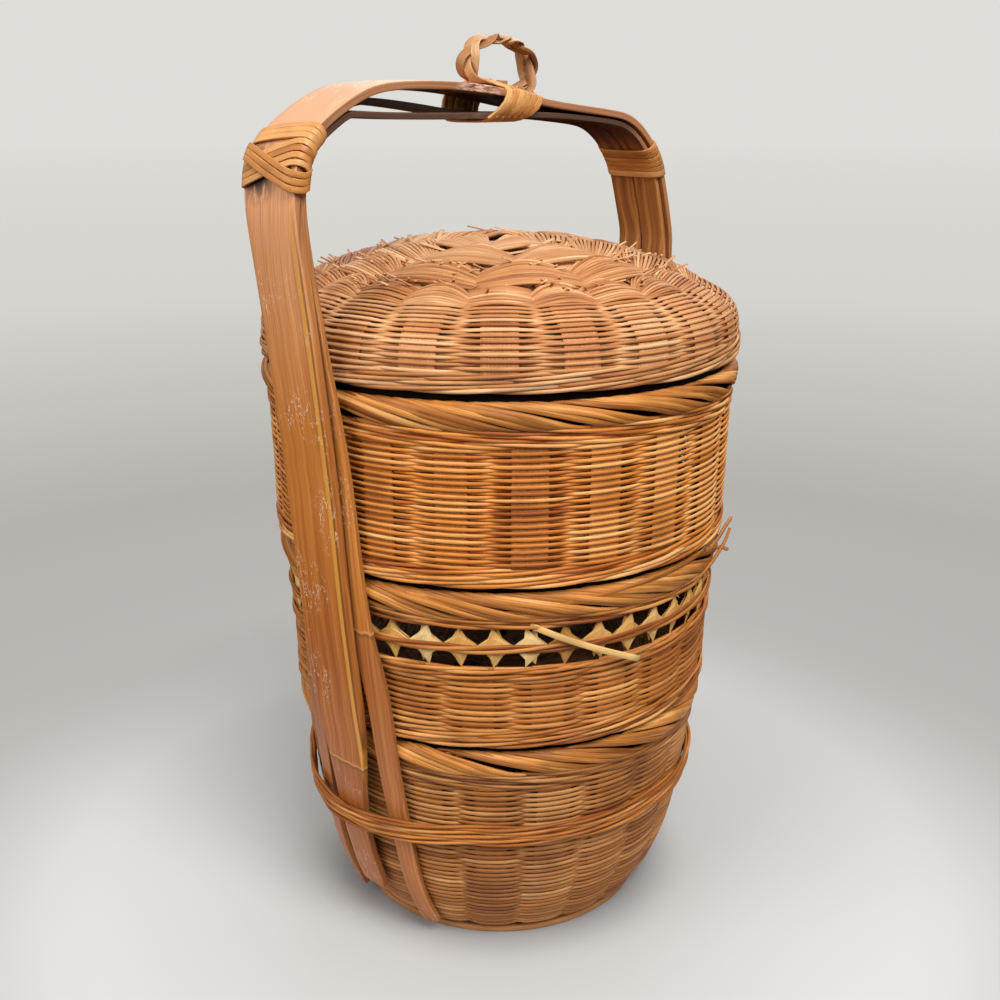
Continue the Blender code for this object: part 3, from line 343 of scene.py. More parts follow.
# ---------------------------------------------------------------- strands
class Strands:
    """Gathers swept strands into one mesh with a UV map in metres and a tint for each point."""

    def __init__(self, profile):
        self.profile = np.array(profile, float)
        self.points, self.faces, self.maps, self.tints = [], [], [], []
        self.count = 0

    def sweep(self, points, normals, width, thickness, tint=0.5, closed=False, shift=0.0):
        """Adds one strand along points, its flat side square to normals."""
        points = np.asarray(points, float)
        number, sides = len(points), len(self.profile)
        if closed:
            tangents = np.roll(points, -1, 0) - np.roll(points, 1, 0)
        else:
            tangents = np.gradient(points, axis=0)
        tangents /= np.linalg.norm(tangents, axis=1)[:, None]
        across = np.cross(tangents, normals)
        across /= np.linalg.norm(across, axis=1)[:, None]
        upward = np.cross(across, tangents)
        width = np.broadcast_to(width, number)[:, None, None]
        thickness = np.broadcast_to(thickness, number)[:, None, None]
        rings = (points[:, None, :] + across[:, None, :] * self.profile[None, :, 0:1] * width
                 + upward[:, None, :] * self.profile[None, :, 1:2] * thickness)

        # The map runs along the strand by its length and round it by the lengths of its sides
        lengths = np.linalg.norm(np.diff(points, axis=0), axis=1)
        last = np.linalg.norm(points[0] - points[-1]) if closed else 0.0
        along = np.concatenate([[0.0], np.cumsum(lengths), [lengths.sum() + last]]) + shift
        size = np.array([float(np.mean(width)), float(np.mean(thickness))])
        outline = np.vstack([self.profile, self.profile[:1]]) * size
        around = lengths_along(outline) + shift * 0.37

        ring, side = np.meshgrid(np.arange(number if closed else number - 1), np.arange(sides),
                                 indexing="ij")
        ring, side = ring.ravel(), side.ravel()
        after, beside = (ring + 1) % number, (side + 1) % sides
        quads = np.stack([ring * sides + side, after * sides + side, after * sides + beside,
                          ring * sides + beside], 1)
        self.faces += (quads + self.count).tolist()
        corners = [(ring, side), (ring + 1, side), (ring + 1, side + 1), (ring, side + 1)]
        self.maps.append(np.stack([np.stack([along[run], around[turn]], 1)
                                   for run, turn in corners], 1).reshape(-1, 2))
        if not closed:
            for first, order in ((0, 1), ((number - 1) * sides, -1)):
                cap = list(range(sides))[::order]
                self.faces.append([self.count + first + corner for corner in cap])
                self.maps.append(self.profile[cap] * size + [along[0], 0.0])
        self.points.append(rings.reshape(-1, 3))
        self.tints.append(np.repeat(np.broadcast_to(tint, number), sides))
        self.count += number * sides

    def finish(self, name, material, body, replaced):
        """Makes the piece of all the strands."""
        mesh = bpy.data.meshes.new(name)
        mesh.from_pydata(np.vstack(self.points).tolist(), [], self.faces)
        round_shading(mesh)
        lay_map(mesh, np.vstack(self.maps))
        mark_points(mesh, "tint", np.concatenate(self.tints))
        hand_over(put_in_scene(name, mesh), material, body, replaced)


def drift(rng, count, spacing, size, closed=False):
    """A smooth random line: a new value every few steps."""
    marks = rng.normal(0.0, size, max(4, int(count / spacing) + 2))
    if closed:
        marks[-1] = marks[0]
    where = np.linspace(0, len(marks) - 1, count)
    low = np.minimum(where.astype(int), len(marks) - 2)
    blend = where - low
    blend = blend * blend * (3 - 2 * blend)
    return marks[low] * (1 - blend) + marks[low + 1] * blend


def weave_wall(strands, line, span, turn, seed, pitch=ROW_PITCH, width=CANE_WIDTH,
               swing=CANE_SWING, thickness=CANE_THICKNESS, depth=WALL_DEPTH, tone=0.5,
               spread=0.16):
    """One cane wound in a spiral over a span of the outline, over and under an odd number of
    stakes, so each lap goes the other way. Spread is how much the columns differ in shade."""
    rng = np.random.default_rng(seed)
    float_shades, lap_shades, uneven_width = 0.09, 0.07, 0.05
    squeeze = 0.14              # how much narrower a cane is where it dips between the stakes
    low, high = span
    laps = (high - low) / pitch
    count = int(laps * STAKES * STEPS)
    stakes = np.linspace(0.0, laps * STAKES, count)
    lift = np.tanh(CANE_GRIP * np.cos(np.pi * stakes)) / np.tanh(CANE_GRIP)
    where = low + stakes / STAKES * pitch + drift(rng, count, STEPS, CANE_WANDER)
    out = -depth + swing * lift + drift(rng, count, STEPS * 2, CANE_WANDER)
    points, normals = line.place(where, turn + stakes * SPACING, out)
    columns = rng.uniform(-spread, spread, STAKES)
    floats = np.round(stakes).astype(int)
    shades = rng.normal(0.0, float_shades, floats.max() + 1)
    tint = (tone + columns[floats % STAKES] + shades[floats]
            + drift(rng, count, STEPS * STAKES, lap_shades))
    squeezed = (1 - squeeze) + squeeze * np.abs(lift)
    sizes = width * (1 + drift(rng, count, STEPS * 5, uneven_width)) * squeezed
    strands.sweep(points, normals, sizes, thickness, tint)


def twine_rows(strands, tier, span, rows, seed, lean=1.0, depth=0.0016, width=0.0020,
               thickness=0.0017, tone=0.5, swing=0.0015):
    """Rows of three canes twined over two stakes and behind one, so that they slant like a rope,
    to the one side or the other as they lean."""
    rng = np.random.default_rng(seed)
    weavers, steps, slant = 3, 10, 0.40
    strays, uneven_width, canes_differ, tint_drift = (0.00018, 0.00012), 0.07, 0.10, 0.13
    count = STAKES * steps
    stakes = np.linspace(0.0, STAKES, count, endpoint=False)
    height = (span[1] - span[0]) / rows
    for row in range(rows):
        middle = span[0] + (row + 0.5) * height
        offset = rng.uniform(0, weavers)
        for weaver in range(weavers):
            turned = math.tau * (stakes + offset) / weavers + math.tau * weaver / weavers
            where = (middle + lean * slant * height * np.sin(turned)
                     + drift(rng, count, 14, strays[0], True))
            out = -depth + swing * np.cos(turned) + drift(rng, count, 14, strays[1], True)
            points, normals = tier.line.place(where, tier.turn + stakes * SPACING, out)
            tint = tone + rng.normal(0, canes_differ) + drift(rng, count, 12, tint_drift, True)
            strands.sweep(points, normals, width * (1 + drift(rng, count, 9, uneven_width, True)),
                          thickness, tint, True, rng.uniform(0, GRAIN_SHIFT))


# ---------------------------------------------------------------- the three tiers
# A tier or the lid: the body it moves with, its outline, the angle of one stake, and its cane
Tier = namedtuple("Tier", "body line turn cane")
BASE = Tier("base", Meridian(BASE_LINE), math.radians(5.2) + SPACING / 2, BASE_CANE)
MIDDLE = Tier("middle", Meridian(MIDDLE_LINE), math.radians(2.3) + SPACING / 2, LOW_CANE)
TOP = Tier("top", Meridian(TOP_LINE), math.radians(-2.9) + SPACING / 2, TOP_CANE)
LID = Tier("lid", Meridian(LID_LINE), math.radians(-9.5) + SPACING / 2, LID_CANE)


def woven_wall(name, tier, node, span, seed, slot="woven_cane", **settings):
    """The plain weave of a tier, over a span of its outline."""
    strands = Strands(ROUND_CANE)
    weave_wall(strands, tier.line, span, tier.turn, seed, **settings)
    strands.finish(name, tier.cane, tier.body, [node])


def twined_rows(name, tier, node, span, rows, seed, **settings):
    """A band of twined rows of a tier, over a span of its outline."""
    strands = Strands(ROUND_CANE)
    twine_rows(strands, tier, span, rows, seed, **settings)
    strands.finish(name, tier.cane, tier.body, [node])


def stand_stakes(name, tier, node, span, seed, width=STAKE_WIDTH, material=STAKE_SPLINT):
    """The broad flat splints that the cane of a tier is woven round."""
    rng = np.random.default_rng(seed)
    strands = Strands(FLAT_SPLINT)
    count = 28
    where = np.linspace(*span, count)
    room = 0.86 * SPACING * tier.line.at(where)[0]
    for stake in range(STAKES):
        points, normals = tier.line.place(where, np.full(count, tier.turn + stake * SPACING),
                                          np.full(count, -WALL_DEPTH))
        wide = np.minimum(width * (1 + rng.normal(0, 0.03)), room)
        strands.sweep(points, normals, wide, STAKE_THICKNESS, 0.5 + rng.normal(0, 0.12),
                      shift=rng.uniform(0, GRAIN_SHIFT))
    strands.finish(name, material, tier.body, [node])


def roll_edge(name, tier, node, radius, low, high, seed, tone):
    """The rolled edge between two heights: bundles of flat strips that come over the rim, sweep
    down and dive under the next bundle."""
    rng = np.random.default_rng(seed)
    strands = Strands(FLAT_SPLINT)
    depth, width, thickness = 0.0048, 0.0031, 0.0018
    stakes_passed, strips, count = 2.35, 3, 34
    first_angle, fall_angle = 2.75, 4.60        # round the roll: where a strip starts, how far
    half_height, half_depth = (high - low) / 2, depth / 2
    middle_radius, middle_height = radius - half_depth, (low + high) / 2
    share = np.linspace(0.0, 1.0, count)
    narrowed = 1 - 0.35 * np.clip(share * 5 - 4, 0, 1)
    for bundle in range(STAKES):
        slack = rng.normal(0, 0.06)
        for strip in range(strips):
            start = bundle + strip * 0.25 + rng.normal(0, 0.03)
            angle = tier.turn + SPACING * (start + stakes_passed * (1 + slack) * share)
            fall = (first_angle - fall_angle * (share + 0.06 * np.sin(math.tau * share))
                    + drift(rng, count, 12, 0.04))
            proud = 0.62 + 0.60 * np.sin(math.pi * share) - 0.08 * strip + 0.05 * rng.normal()
            reach = half_depth * proud + rng.normal(0, 0.00012)
            points = around_axis(middle_radius + reach * np.cos(fall), angle,
                                 middle_height + half_height * 0.93 * np.sin(fall))
            out, up = np.cos(fall) / half_depth, np.sin(fall) / half_height
            size = np.hypot(out, up)
            wide = width * (1 + rng.normal(0, 0.12)) * narrowed
            tint = tone + rng.normal(0, 0.14) + drift(rng, count, 10, 0.07)
            strands.sweep(points, around_axis(out / size, angle, up / size), wide, thickness,
                          tint, shift=rng.uniform(0, GRAIN_SHIFT))
    strands.finish(name, EDGE_CANE, tier.body, [node])


base_top = BASE.line.at_height(0.1075)
woven_wall("base_weave", BASE, "base_wall", (BASE.line.at_height(0.0066), base_top), 11,
           width=0.0025, thickness=0.0015, spread=0.08)
stand_stakes("base_weave_stakes", BASE, "base_stakes", (0.0008, base_top + 0.008), 12)
twined_rows("base_twined_rows", BASE, "base_upper_waling", BASE.line.at_heights(0.1067, 0.1155),
            3, 13, lean=-1.0)
roll_edge("base_rolled_edge", BASE, "base_rim_border", 0.1137, 0.1150, 0.1280, 14, 0.42)

woven_wall("middle_weave", MIDDLE, "middle_wall", MIDDLE.line.at_heights(0.1412, 0.1702), 21,
           width=0.0024, thickness=0.0015, spread=0.10)
stand_stakes("middle_weave_stakes", MIDDLE, "middle_stakes",
             MIDDLE.line.at_heights(0.1415, 0.1765), 22)
twined_rows("middle_lower_rows", MIDDLE, "middle_lower_waling",
            MIDDLE.line.at_heights(0.1325, 0.1412), 3, 23)
twined_rows("middle_band_rows", MIDDLE, "middle_band_waling",
            MIDDLE.line.at_heights(0.1698, 0.1763), 2, 24, depth=0.0010, lean=0.6)
twined_rows("middle_upper_rows", MIDDLE, "middle_upper_waling",
            MIDDLE.line.at_heights(0.1970, 0.2030), 2, 25, depth=0.0010, lean=-0.7)
roll_edge("middle_rolled_edge", MIDDLE, "middle_rim_border", 0.1202, 0.2025, 0.2155, 26, 0.40)

woven_wall("top_weave", TOP, "top_wall", TOP.line.at_heights(0.2288, 0.2878), 8802, spread=0.22)
stand_stakes("top_weave_stakes", TOP, "top_stakes", TOP.line.at_heights(0.2290, 0.2960), 32)
twined_rows("top_lower_rows", TOP, "top_lower_waling", TOP.line.at_heights(0.2200, 0.2288), 3, 33)
twined_rows("top_upper_rows", TOP, "top_upper_waling", TOP.line.at_heights(0.2872, 0.2960), 3, 34,
            lean=-1.0)
roll_edge("top_rolled_edge", TOP, "top_rim_border", 0.1250, 0.2955, 0.3083, 35, 0.44)


# ---------------------------------------------------------------- openwork of the middle tier
# The triangles of a folded splint, between eight points round it and three down its crease
FOLD_TRIANGLES = [(0, 8, 1), (1, 8, 2), (2, 8, 3), (3, 8, 4), (0, 9, 8), (8, 9, 4), (0, 10, 9),
                  (9, 10, 4), (0, 7, 10), (7, 6, 10), (6, 5, 10), (5, 4, 10)]


def fold_openwork():
    """Forty-two pale splints folded to diamonds of two layers, each with a crease down it."""
    name = "middle_folded_splints"
    rng = np.random.default_rng(41)
    low, high = MIDDLE.line.at_heights(0.1762, 0.1972)
    middle, half = (low + high) / 2, (high - low) / 2
    count, overlap = 2 * STAKES, 1.04
    sheet, tints, maps = bmesh.new(), [], []
    for place in range(count):
        centre = MIDDLE.turn + SPACING / 4 + place * math.tau / count
        swing = rng.uniform(-1, 1)
        tone = 0.50 + rng.normal(0, 0.18)
        crease = rng.uniform(-0.42, 0.22)
        edge = [(-1.02, 0.02 + 0.06 * swing), (-0.40, 0.46), (crease, 1.03), (0.40, 0.36),
                (1.02, -0.03), (0.42, -0.40), (crease + 0.2 * swing, -1.03), (-0.30, -0.50)]
        ridge = [(crease, 0.55), (crease, 0.0), (crease, -0.55)]
        for layer, flip, depth, scale in ((0, 1, 0.0021, 1.0), (1, -1, 0.0034, 0.93)):
            spots = [(flip * a * scale, b * scale, 0.0006 * (1 - abs(a)) - depth)
                     for a, b in edge]
            spots += [(flip * a, b * scale, 0.0017 - depth) for a, b in ridge]
            across, along, out = np.array(spots).T
            points, _ = MIDDLE.line.place(
                middle + half * along, centre + across * math.tau / count / 2 * overlap, out)
            made = [sheet.verts.new(point) for point in points]
            flat = np.stack([across * 0.004 + along * 0.006 + place * 0.013,
                             across * 0.006 - along * 0.004], 1)
            for triangle in FOLD_TRIANGLES:
                order = triangle[::flip]
                sheet.faces.new([made[index] for index in order])
                maps.append(flat[list(order)])
            # The lower layer is tinted darker, a painted shade under the upper one, and the side
            # past each crease a little lighter, painted light on that face of the fold
            tints.append(tone - 0.12 * layer + 0.05 * (across > crease))
    mesh = bpy.data.meshes.new(name)
    sheet.to_mesh(mesh)
    sheet.free()
    lay_map(mesh, maps)
    mark_points(mesh, "tint", np.concatenate(tints))
    piece = put_in_scene(name, mesh)
    take_up(piece)
    thicken_inwards(piece, 0.0006)
    hand_over(piece, PALE_SKIN, MIDDLE.body, ["middle_openwork"])


fold_openwork()
twined_rows("middle_openwork_strands", MIDDLE, "middle_openwork_row",
            MIDDLE.line.at_heights(0.1844, 0.1888), 1, 42, depth=-0.0004, width=0.0022,
            thickness=0.0014, tone=0.45, swing=0.0006, lean=0.9)


# ---------------------------------------------------------------- the lid
def lid_bundles(strands, outer, inner, count, number, turn, seed, pinch, bulge, width, tone=0.5,
                overlap=1.12, thickness=0.0016, uneven=0.0):
    """A ring of bundles: in each, fine strands lie side by side, bow towards the crown and dive
    under the next. Pinch is how narrow a bundle gets at its ends."""
    rng = np.random.default_rng(seed)
    first, last = LID.line.at_radius(outer), LID.line.at_radius(inner)
    spread = (last - first) / number
    steps, depth, tilt, look_ahead = 18, 0.0022, 0.24, 0.001
    share = np.linspace(-1.0, 1.0, steps)
    curve = np.abs(share) ** 2.0
    for bundle in range(count):
        shape = pinch + (uneven if bundle % 2 else -uneven)
        bundle_tone = tone + rng.normal(0, 0.045)
        angle = turn + bundle * math.tau / count + share * math.tau / count / 2 * overlap
        for strand in range(number):
            level = first + (strand + 0.5) * spread
            pulled = first + ((strand + 0.5) * shape + 0.02 * number) * spread
            where = level * (1 - curve) + pulled * curve + rng.normal(0, 0.00008)
            out = (-depth + rng.normal(0, 0.00016) + bulge * np.cos(share * math.pi / 2 * 1.12)
                   + 0.0004 * np.sin(math.pi * strand / number))
            points, normals = LID.line.place(where, angle, out)
            ahead = LID.line.place(where + look_ahead, angle, out)[0] - points
            wide = width * (1 + rng.normal(0, 0.05))
            tint = bundle_tone + rng.normal(0, 0.11) + drift(rng, steps, 8, 0.05)
            strands.sweep(points, normals - ahead / look_ahead * tilt, wide, thickness, tint,
                          shift=rng.uniform(0, GRAIN_SHIFT))


def stray_ends(strands, radius, spread, number, seed, length, width, up=0.5, tone=0.55,
               lean=-1.2):
    """Cut ends of strands that stick out between the rings of the lid."""
    rng = np.random.default_rng(seed)
    share = np.linspace(0.0, 1.0, 7)
    for _ in range(number):
        where = LID.line.at_radius(radius + rng.uniform(-spread, spread))
        angle = rng.uniform(0, math.tau)
        way = lean + rng.normal(0, 0.45)
        run = length * rng.uniform(0.5, 1.3) * share
        turned = angle + run * math.cos(way) / max(radius, 0.02) * rng.choice([-1, 1])
        climb = where + run * math.sin(way) * 0.6
        out = -0.0012 + run * up * rng.uniform(0.15, 0.5) + 0.0012 * share
        points, normals = LID.line.place(climb, turned, out)
        strands.sweep(points, normals, width * rng.uniform(0.8, 1.3), 0.0009,
                      tone + rng.normal(0, 0.14), shift=rng.uniform(0, GRAIN_SHIFT))


def lid_bed(strands, outer, inner, seed, tone):
    """The plain weave that shows between the bundles, laid low, its tone passed in low so that it
    is dark: painted shade between the bundles.
    """
    weave_wall(strands, LID.line, (LID.line.at_radius(outer), LID.line.at_radius(inner)),
               LID.turn, seed, pitch=0.0019, width=0.0022, swing=0.0004, depth=0.0036, tone=tone)


def centre_cross(strands):
    """Three broad splints crossed over the middle of the crown, each on the one before."""
    count, half_length, width, thickness = 5, 0.014, 0.0085, 0.0010
    run = np.linspace(-half_length, half_length, count)
    for splint in range(3):
        level = LID_LINE[-1][1] - 0.0044 + 0.0007 * splint
        points = around_axis(run, np.full(count, LID.turn + splint * math.pi / 3), level)
        strands.sweep(points, np.tile([0.0, 0.0, 1.0], (count, 1)), width, thickness,
                      0.30 + 0.06 * splint)


lid_edge = LID.line.at_height(0.3215)
woven_wall("lid_side_weave", LID, "lid_wall", (lid_edge, LID.line.at_radius(0.1005)), 836,
           slot="lid_cane", spread=0.12)
stand_stakes("lid_weave_stakes", LID, "lid_stakes",
             (lid_edge - 0.004, LID.line.at_radius(0.045)), 52, width=0.0172,
             material=LID_SPLINT)
twined_rows("lid_edge_rows", LID, "lid_rim_waling", (0.0002, LID.line.at_height(0.3218)), 3, 53)

fans = Strands(ROUND_CANE)
lid_bed(fans, 0.0985, 0.0620, 68, 0.30)
lid_bundles(fans, 0.1035, 0.0835, STAKES, 11, LID.turn, 54, pinch=0.66, bulge=0.0024,
            width=0.0015, thickness=0.0015, uneven=0.22)
lid_bundles(fans, 0.0875, 0.0600, 10, 13, LID.turn + 0.3, 55, pinch=0.54, bulge=0.0034,
            width=0.0017, tone=0.44, overlap=1.16)
stray_ends(fans, 0.087, 0.006, 110, 56, 0.008, 0.0013, up=1.1)
fans.finish("lid_crown_fans", LID.cane, LID.body, ["lid_crown_weave"])

crown = Strands(ROUND_CANE)
lid_bed(crown, 0.0620, 0.0110, 69, 0.24)
centre_cross(crown)
lid_bundles(crown, 0.0645, 0.0340, 7, 14, LID.turn, 57, pinch=0.48, bulge=0.0038, width=0.0018,
            overlap=1.2)
lid_bundles(crown, 0.0400, 0.0090, 5, 11, LID.turn + 0.5, 58, pinch=0.42, bulge=0.0038,
            width=0.0024, tone=0.54, overlap=1.25)
stray_ends(crown, 0.066, 0.006, 90, 59, 0.010, 0.0014, up=0.9, tone=0.6)
stray_ends(crown, 0.036, 0.008, 22, 60, 0.018, 0.0024, tone=0.62, lean=-0.3)
crown.finish("lid_crown_splints", STRAW_SPLINT, LID.body, ["lid_crown_plait"])


# ---------------------------------------------------------------- floors, hoops and collars
def woven_floor(name, tier, node, radius, height, seed):
    """A flat floor: broad splints from the middle outwards, and cane woven round them."""
    line = Meridian([(0.0045, height), (radius, height)])
    strands = Strands(FLAT_SPLINT)
    rng = np.random.default_rng(seed)
    count = 12
    where = np.linspace(0.0, line.length, count)
    wide = np.minimum(0.0140, 0.80 * SPACING * line.at(where)[0])
    for stake in range(STAKES):
        points, normals = line.place(where, np.full(count, tier.turn + stake * SPACING),
                                     np.zeros(count))
        strands.sweep(points, normals, wide, 0.0008, 0.5 + rng.normal(0, 0.1),
                      shift=rng.uniform(0, GRAIN_SHIFT))
    weave_wall(strands, line, (0.010, line.length), tier.turn, seed + 1, pitch=0.0026,
               width=0.0028, swing=0.0005, depth=0.0, tone=0.45)
    strands.finish(name, HOOP_BAMBOO, tier.body, [node])


woven_floor("base_woven_floor", BASE, "base_floor", 0.0765, 0.0013, 61)
woven_floor("middle_woven_floor", MIDDLE, "middle_floor", 0.1118, 0.1420, 63)
woven_floor("top_woven_floor", TOP, "top_floor", 0.1185, 0.2295, 65)


def bend_hoop(name, node, body, material, wall, proud, rise):
    """A hoop of split bamboo: a band bent to a ring, with eased edges. It can stand prouder and
    higher than its solid."""
    corner_low, corner_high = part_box(node)
    radius, height = corner_high.x + proud, corner_high.z - corner_low.z + rise
    bpy.ops.object.select_all(action="DESELECT")
    bpy.ops.mesh.primitive_cylinder_add(vertices=126, radius=radius, depth=height,
                                        end_fill_type="NOTHING",
                                        location=(0, 0, corner_low.z + height / 2))
    piece = bpy.context.object
    piece.name = name
    thicken_inwards(piece, wall)
    ease = piece.modifiers.new("ease", "BEVEL")
    ease.width = min(wall, height) * 0.3
    ease.segments = 2
    ease.limit_method = "ANGLE"
    bpy.ops.object.modifier_apply(modifier="ease")
    bpy.ops.object.transform_apply(location=True, rotation=True, scale=True)
    bpy.ops.object.shade_smooth_by_angle(angle=math.radians(40))
    mesh = piece.data
    corners = np.array([mesh.vertices[loop.vertex_index].co for loop in mesh.loops])
    along = np.arctan2(corners[:, 1], corners[:, 0]) * radius
    across = np.hypot(corners[:, 0], corners[:, 1]) + corners[:, 2]
    lay_map(mesh, np.stack([along, across], 1))
    mark_points(mesh, "tint", np.full(len(mesh.vertices), 0.45))
    hand_over(piece, material, body, [node])


# Piece, node, body, material, thickness, and how far it stands out and up past its solid
for hoop in (("base_inner_collar", "base_collar", "base", SHADE_BLACK_HOOP, 0.0016, 0.0, 0.0),
             ("middle_inner_collar", "middle_collar", "middle", SHADE_BLACK_HOOP, 0.0016, 0.0, 0.0),
             ("top_inner_collar", "top_collar", "top", SHADE_BLACK_HOOP, 0.0016, 0.0, 0.0),
             ("lid_inner_band", "lid_inner_hoop", "lid", HOOP_BAMBOO, 0.0026, 0.0, 0.0),
             ("base_foot_hoop", "base_foot_ring", "base", FOOT_HOOP, 0.0040, 0.0014, 0.0012)):
    bend_hoop(*hoop)


# ---------------------------------------------------------------- the band that binds the strips
def solid_tree(*names):
    """A search tree over some CAD nodes."""
    points, faces = [], []
    for name in names:
        mesh = nodes[name].data
        start = len(points)
        points += [vertex.co.copy() for vertex in mesh.vertices]
        faces += [[start + index for index in polygon.vertices] for polygon in mesh.polygons]
    return BVHTree.FromPolygons(points, faces)


def bind_strips():
    """Rows of paired stout canes twined round the bottom tier and over the ends of the handle
    strips, where they ride up over each strip."""
    rng = np.random.default_rng(71)
    tree = solid_tree("base_binding_band")
    low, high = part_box("base_binding_band")
    strands = Strands(ROUND_CANE)
    rows, count, waves = 5, STAKES * 16, 7
    width, thickness, outside = 0.0017, 0.0019, 0.3
    set_in, swing, climb = 0.0012, 0.0009, 0.26
    angle = np.linspace(0.0, math.tau, count, endpoint=False)
    normals = around_axis(1.0, angle, 0.0)
    height = (high.z - low.z) / rows
    for row in range(rows):
        level = low.z + (row + 0.5) * height
        reach = []
        for turned in angle:
            outward = Vector((math.cos(turned), math.sin(turned), 0.0))
            hit = tree.ray_cast(outward * outside + Vector((0, 0, level)), -outward)[0]
            reach.append(hit.xy.length)
        reach = np.max([np.roll(reach, step) for step in range(-3, 4)], axis=0)
        reach = np.mean([np.roll(reach, step) for step in range(-6, 7)], axis=0)
        for pair in range(2):
            turned = angle * waves + row + math.pi * pair
            rise = level + height * climb * np.sin(turned)
            out = (reach - set_in + swing * np.cos(turned)
                   + drift(rng, count, 20, 0.0001, True))
            points = around_axis(out, angle, rise + drift(rng, count, 26, 0.0002, True))
            tint = 0.50 + rng.normal(0, 0.07) + drift(rng, count, 16, 0.10, True)
            strands.sweep(points, normals, width, thickness, tint, True,
                          rng.uniform(0, GRAIN_SHIFT))
    strands.finish("base_binding_canes", LOW_CANE, "base", ["base_binding_band"])


bind_strips()

# ---------------------------------------------------------------- the bent handle
STRIPS = ("handle_outer_strip", "handle_inner_strip_front", "handle_inner_strip_back")
HANDLE_CENTRE = 0.200       # height of the point about which the handle's angles are taken


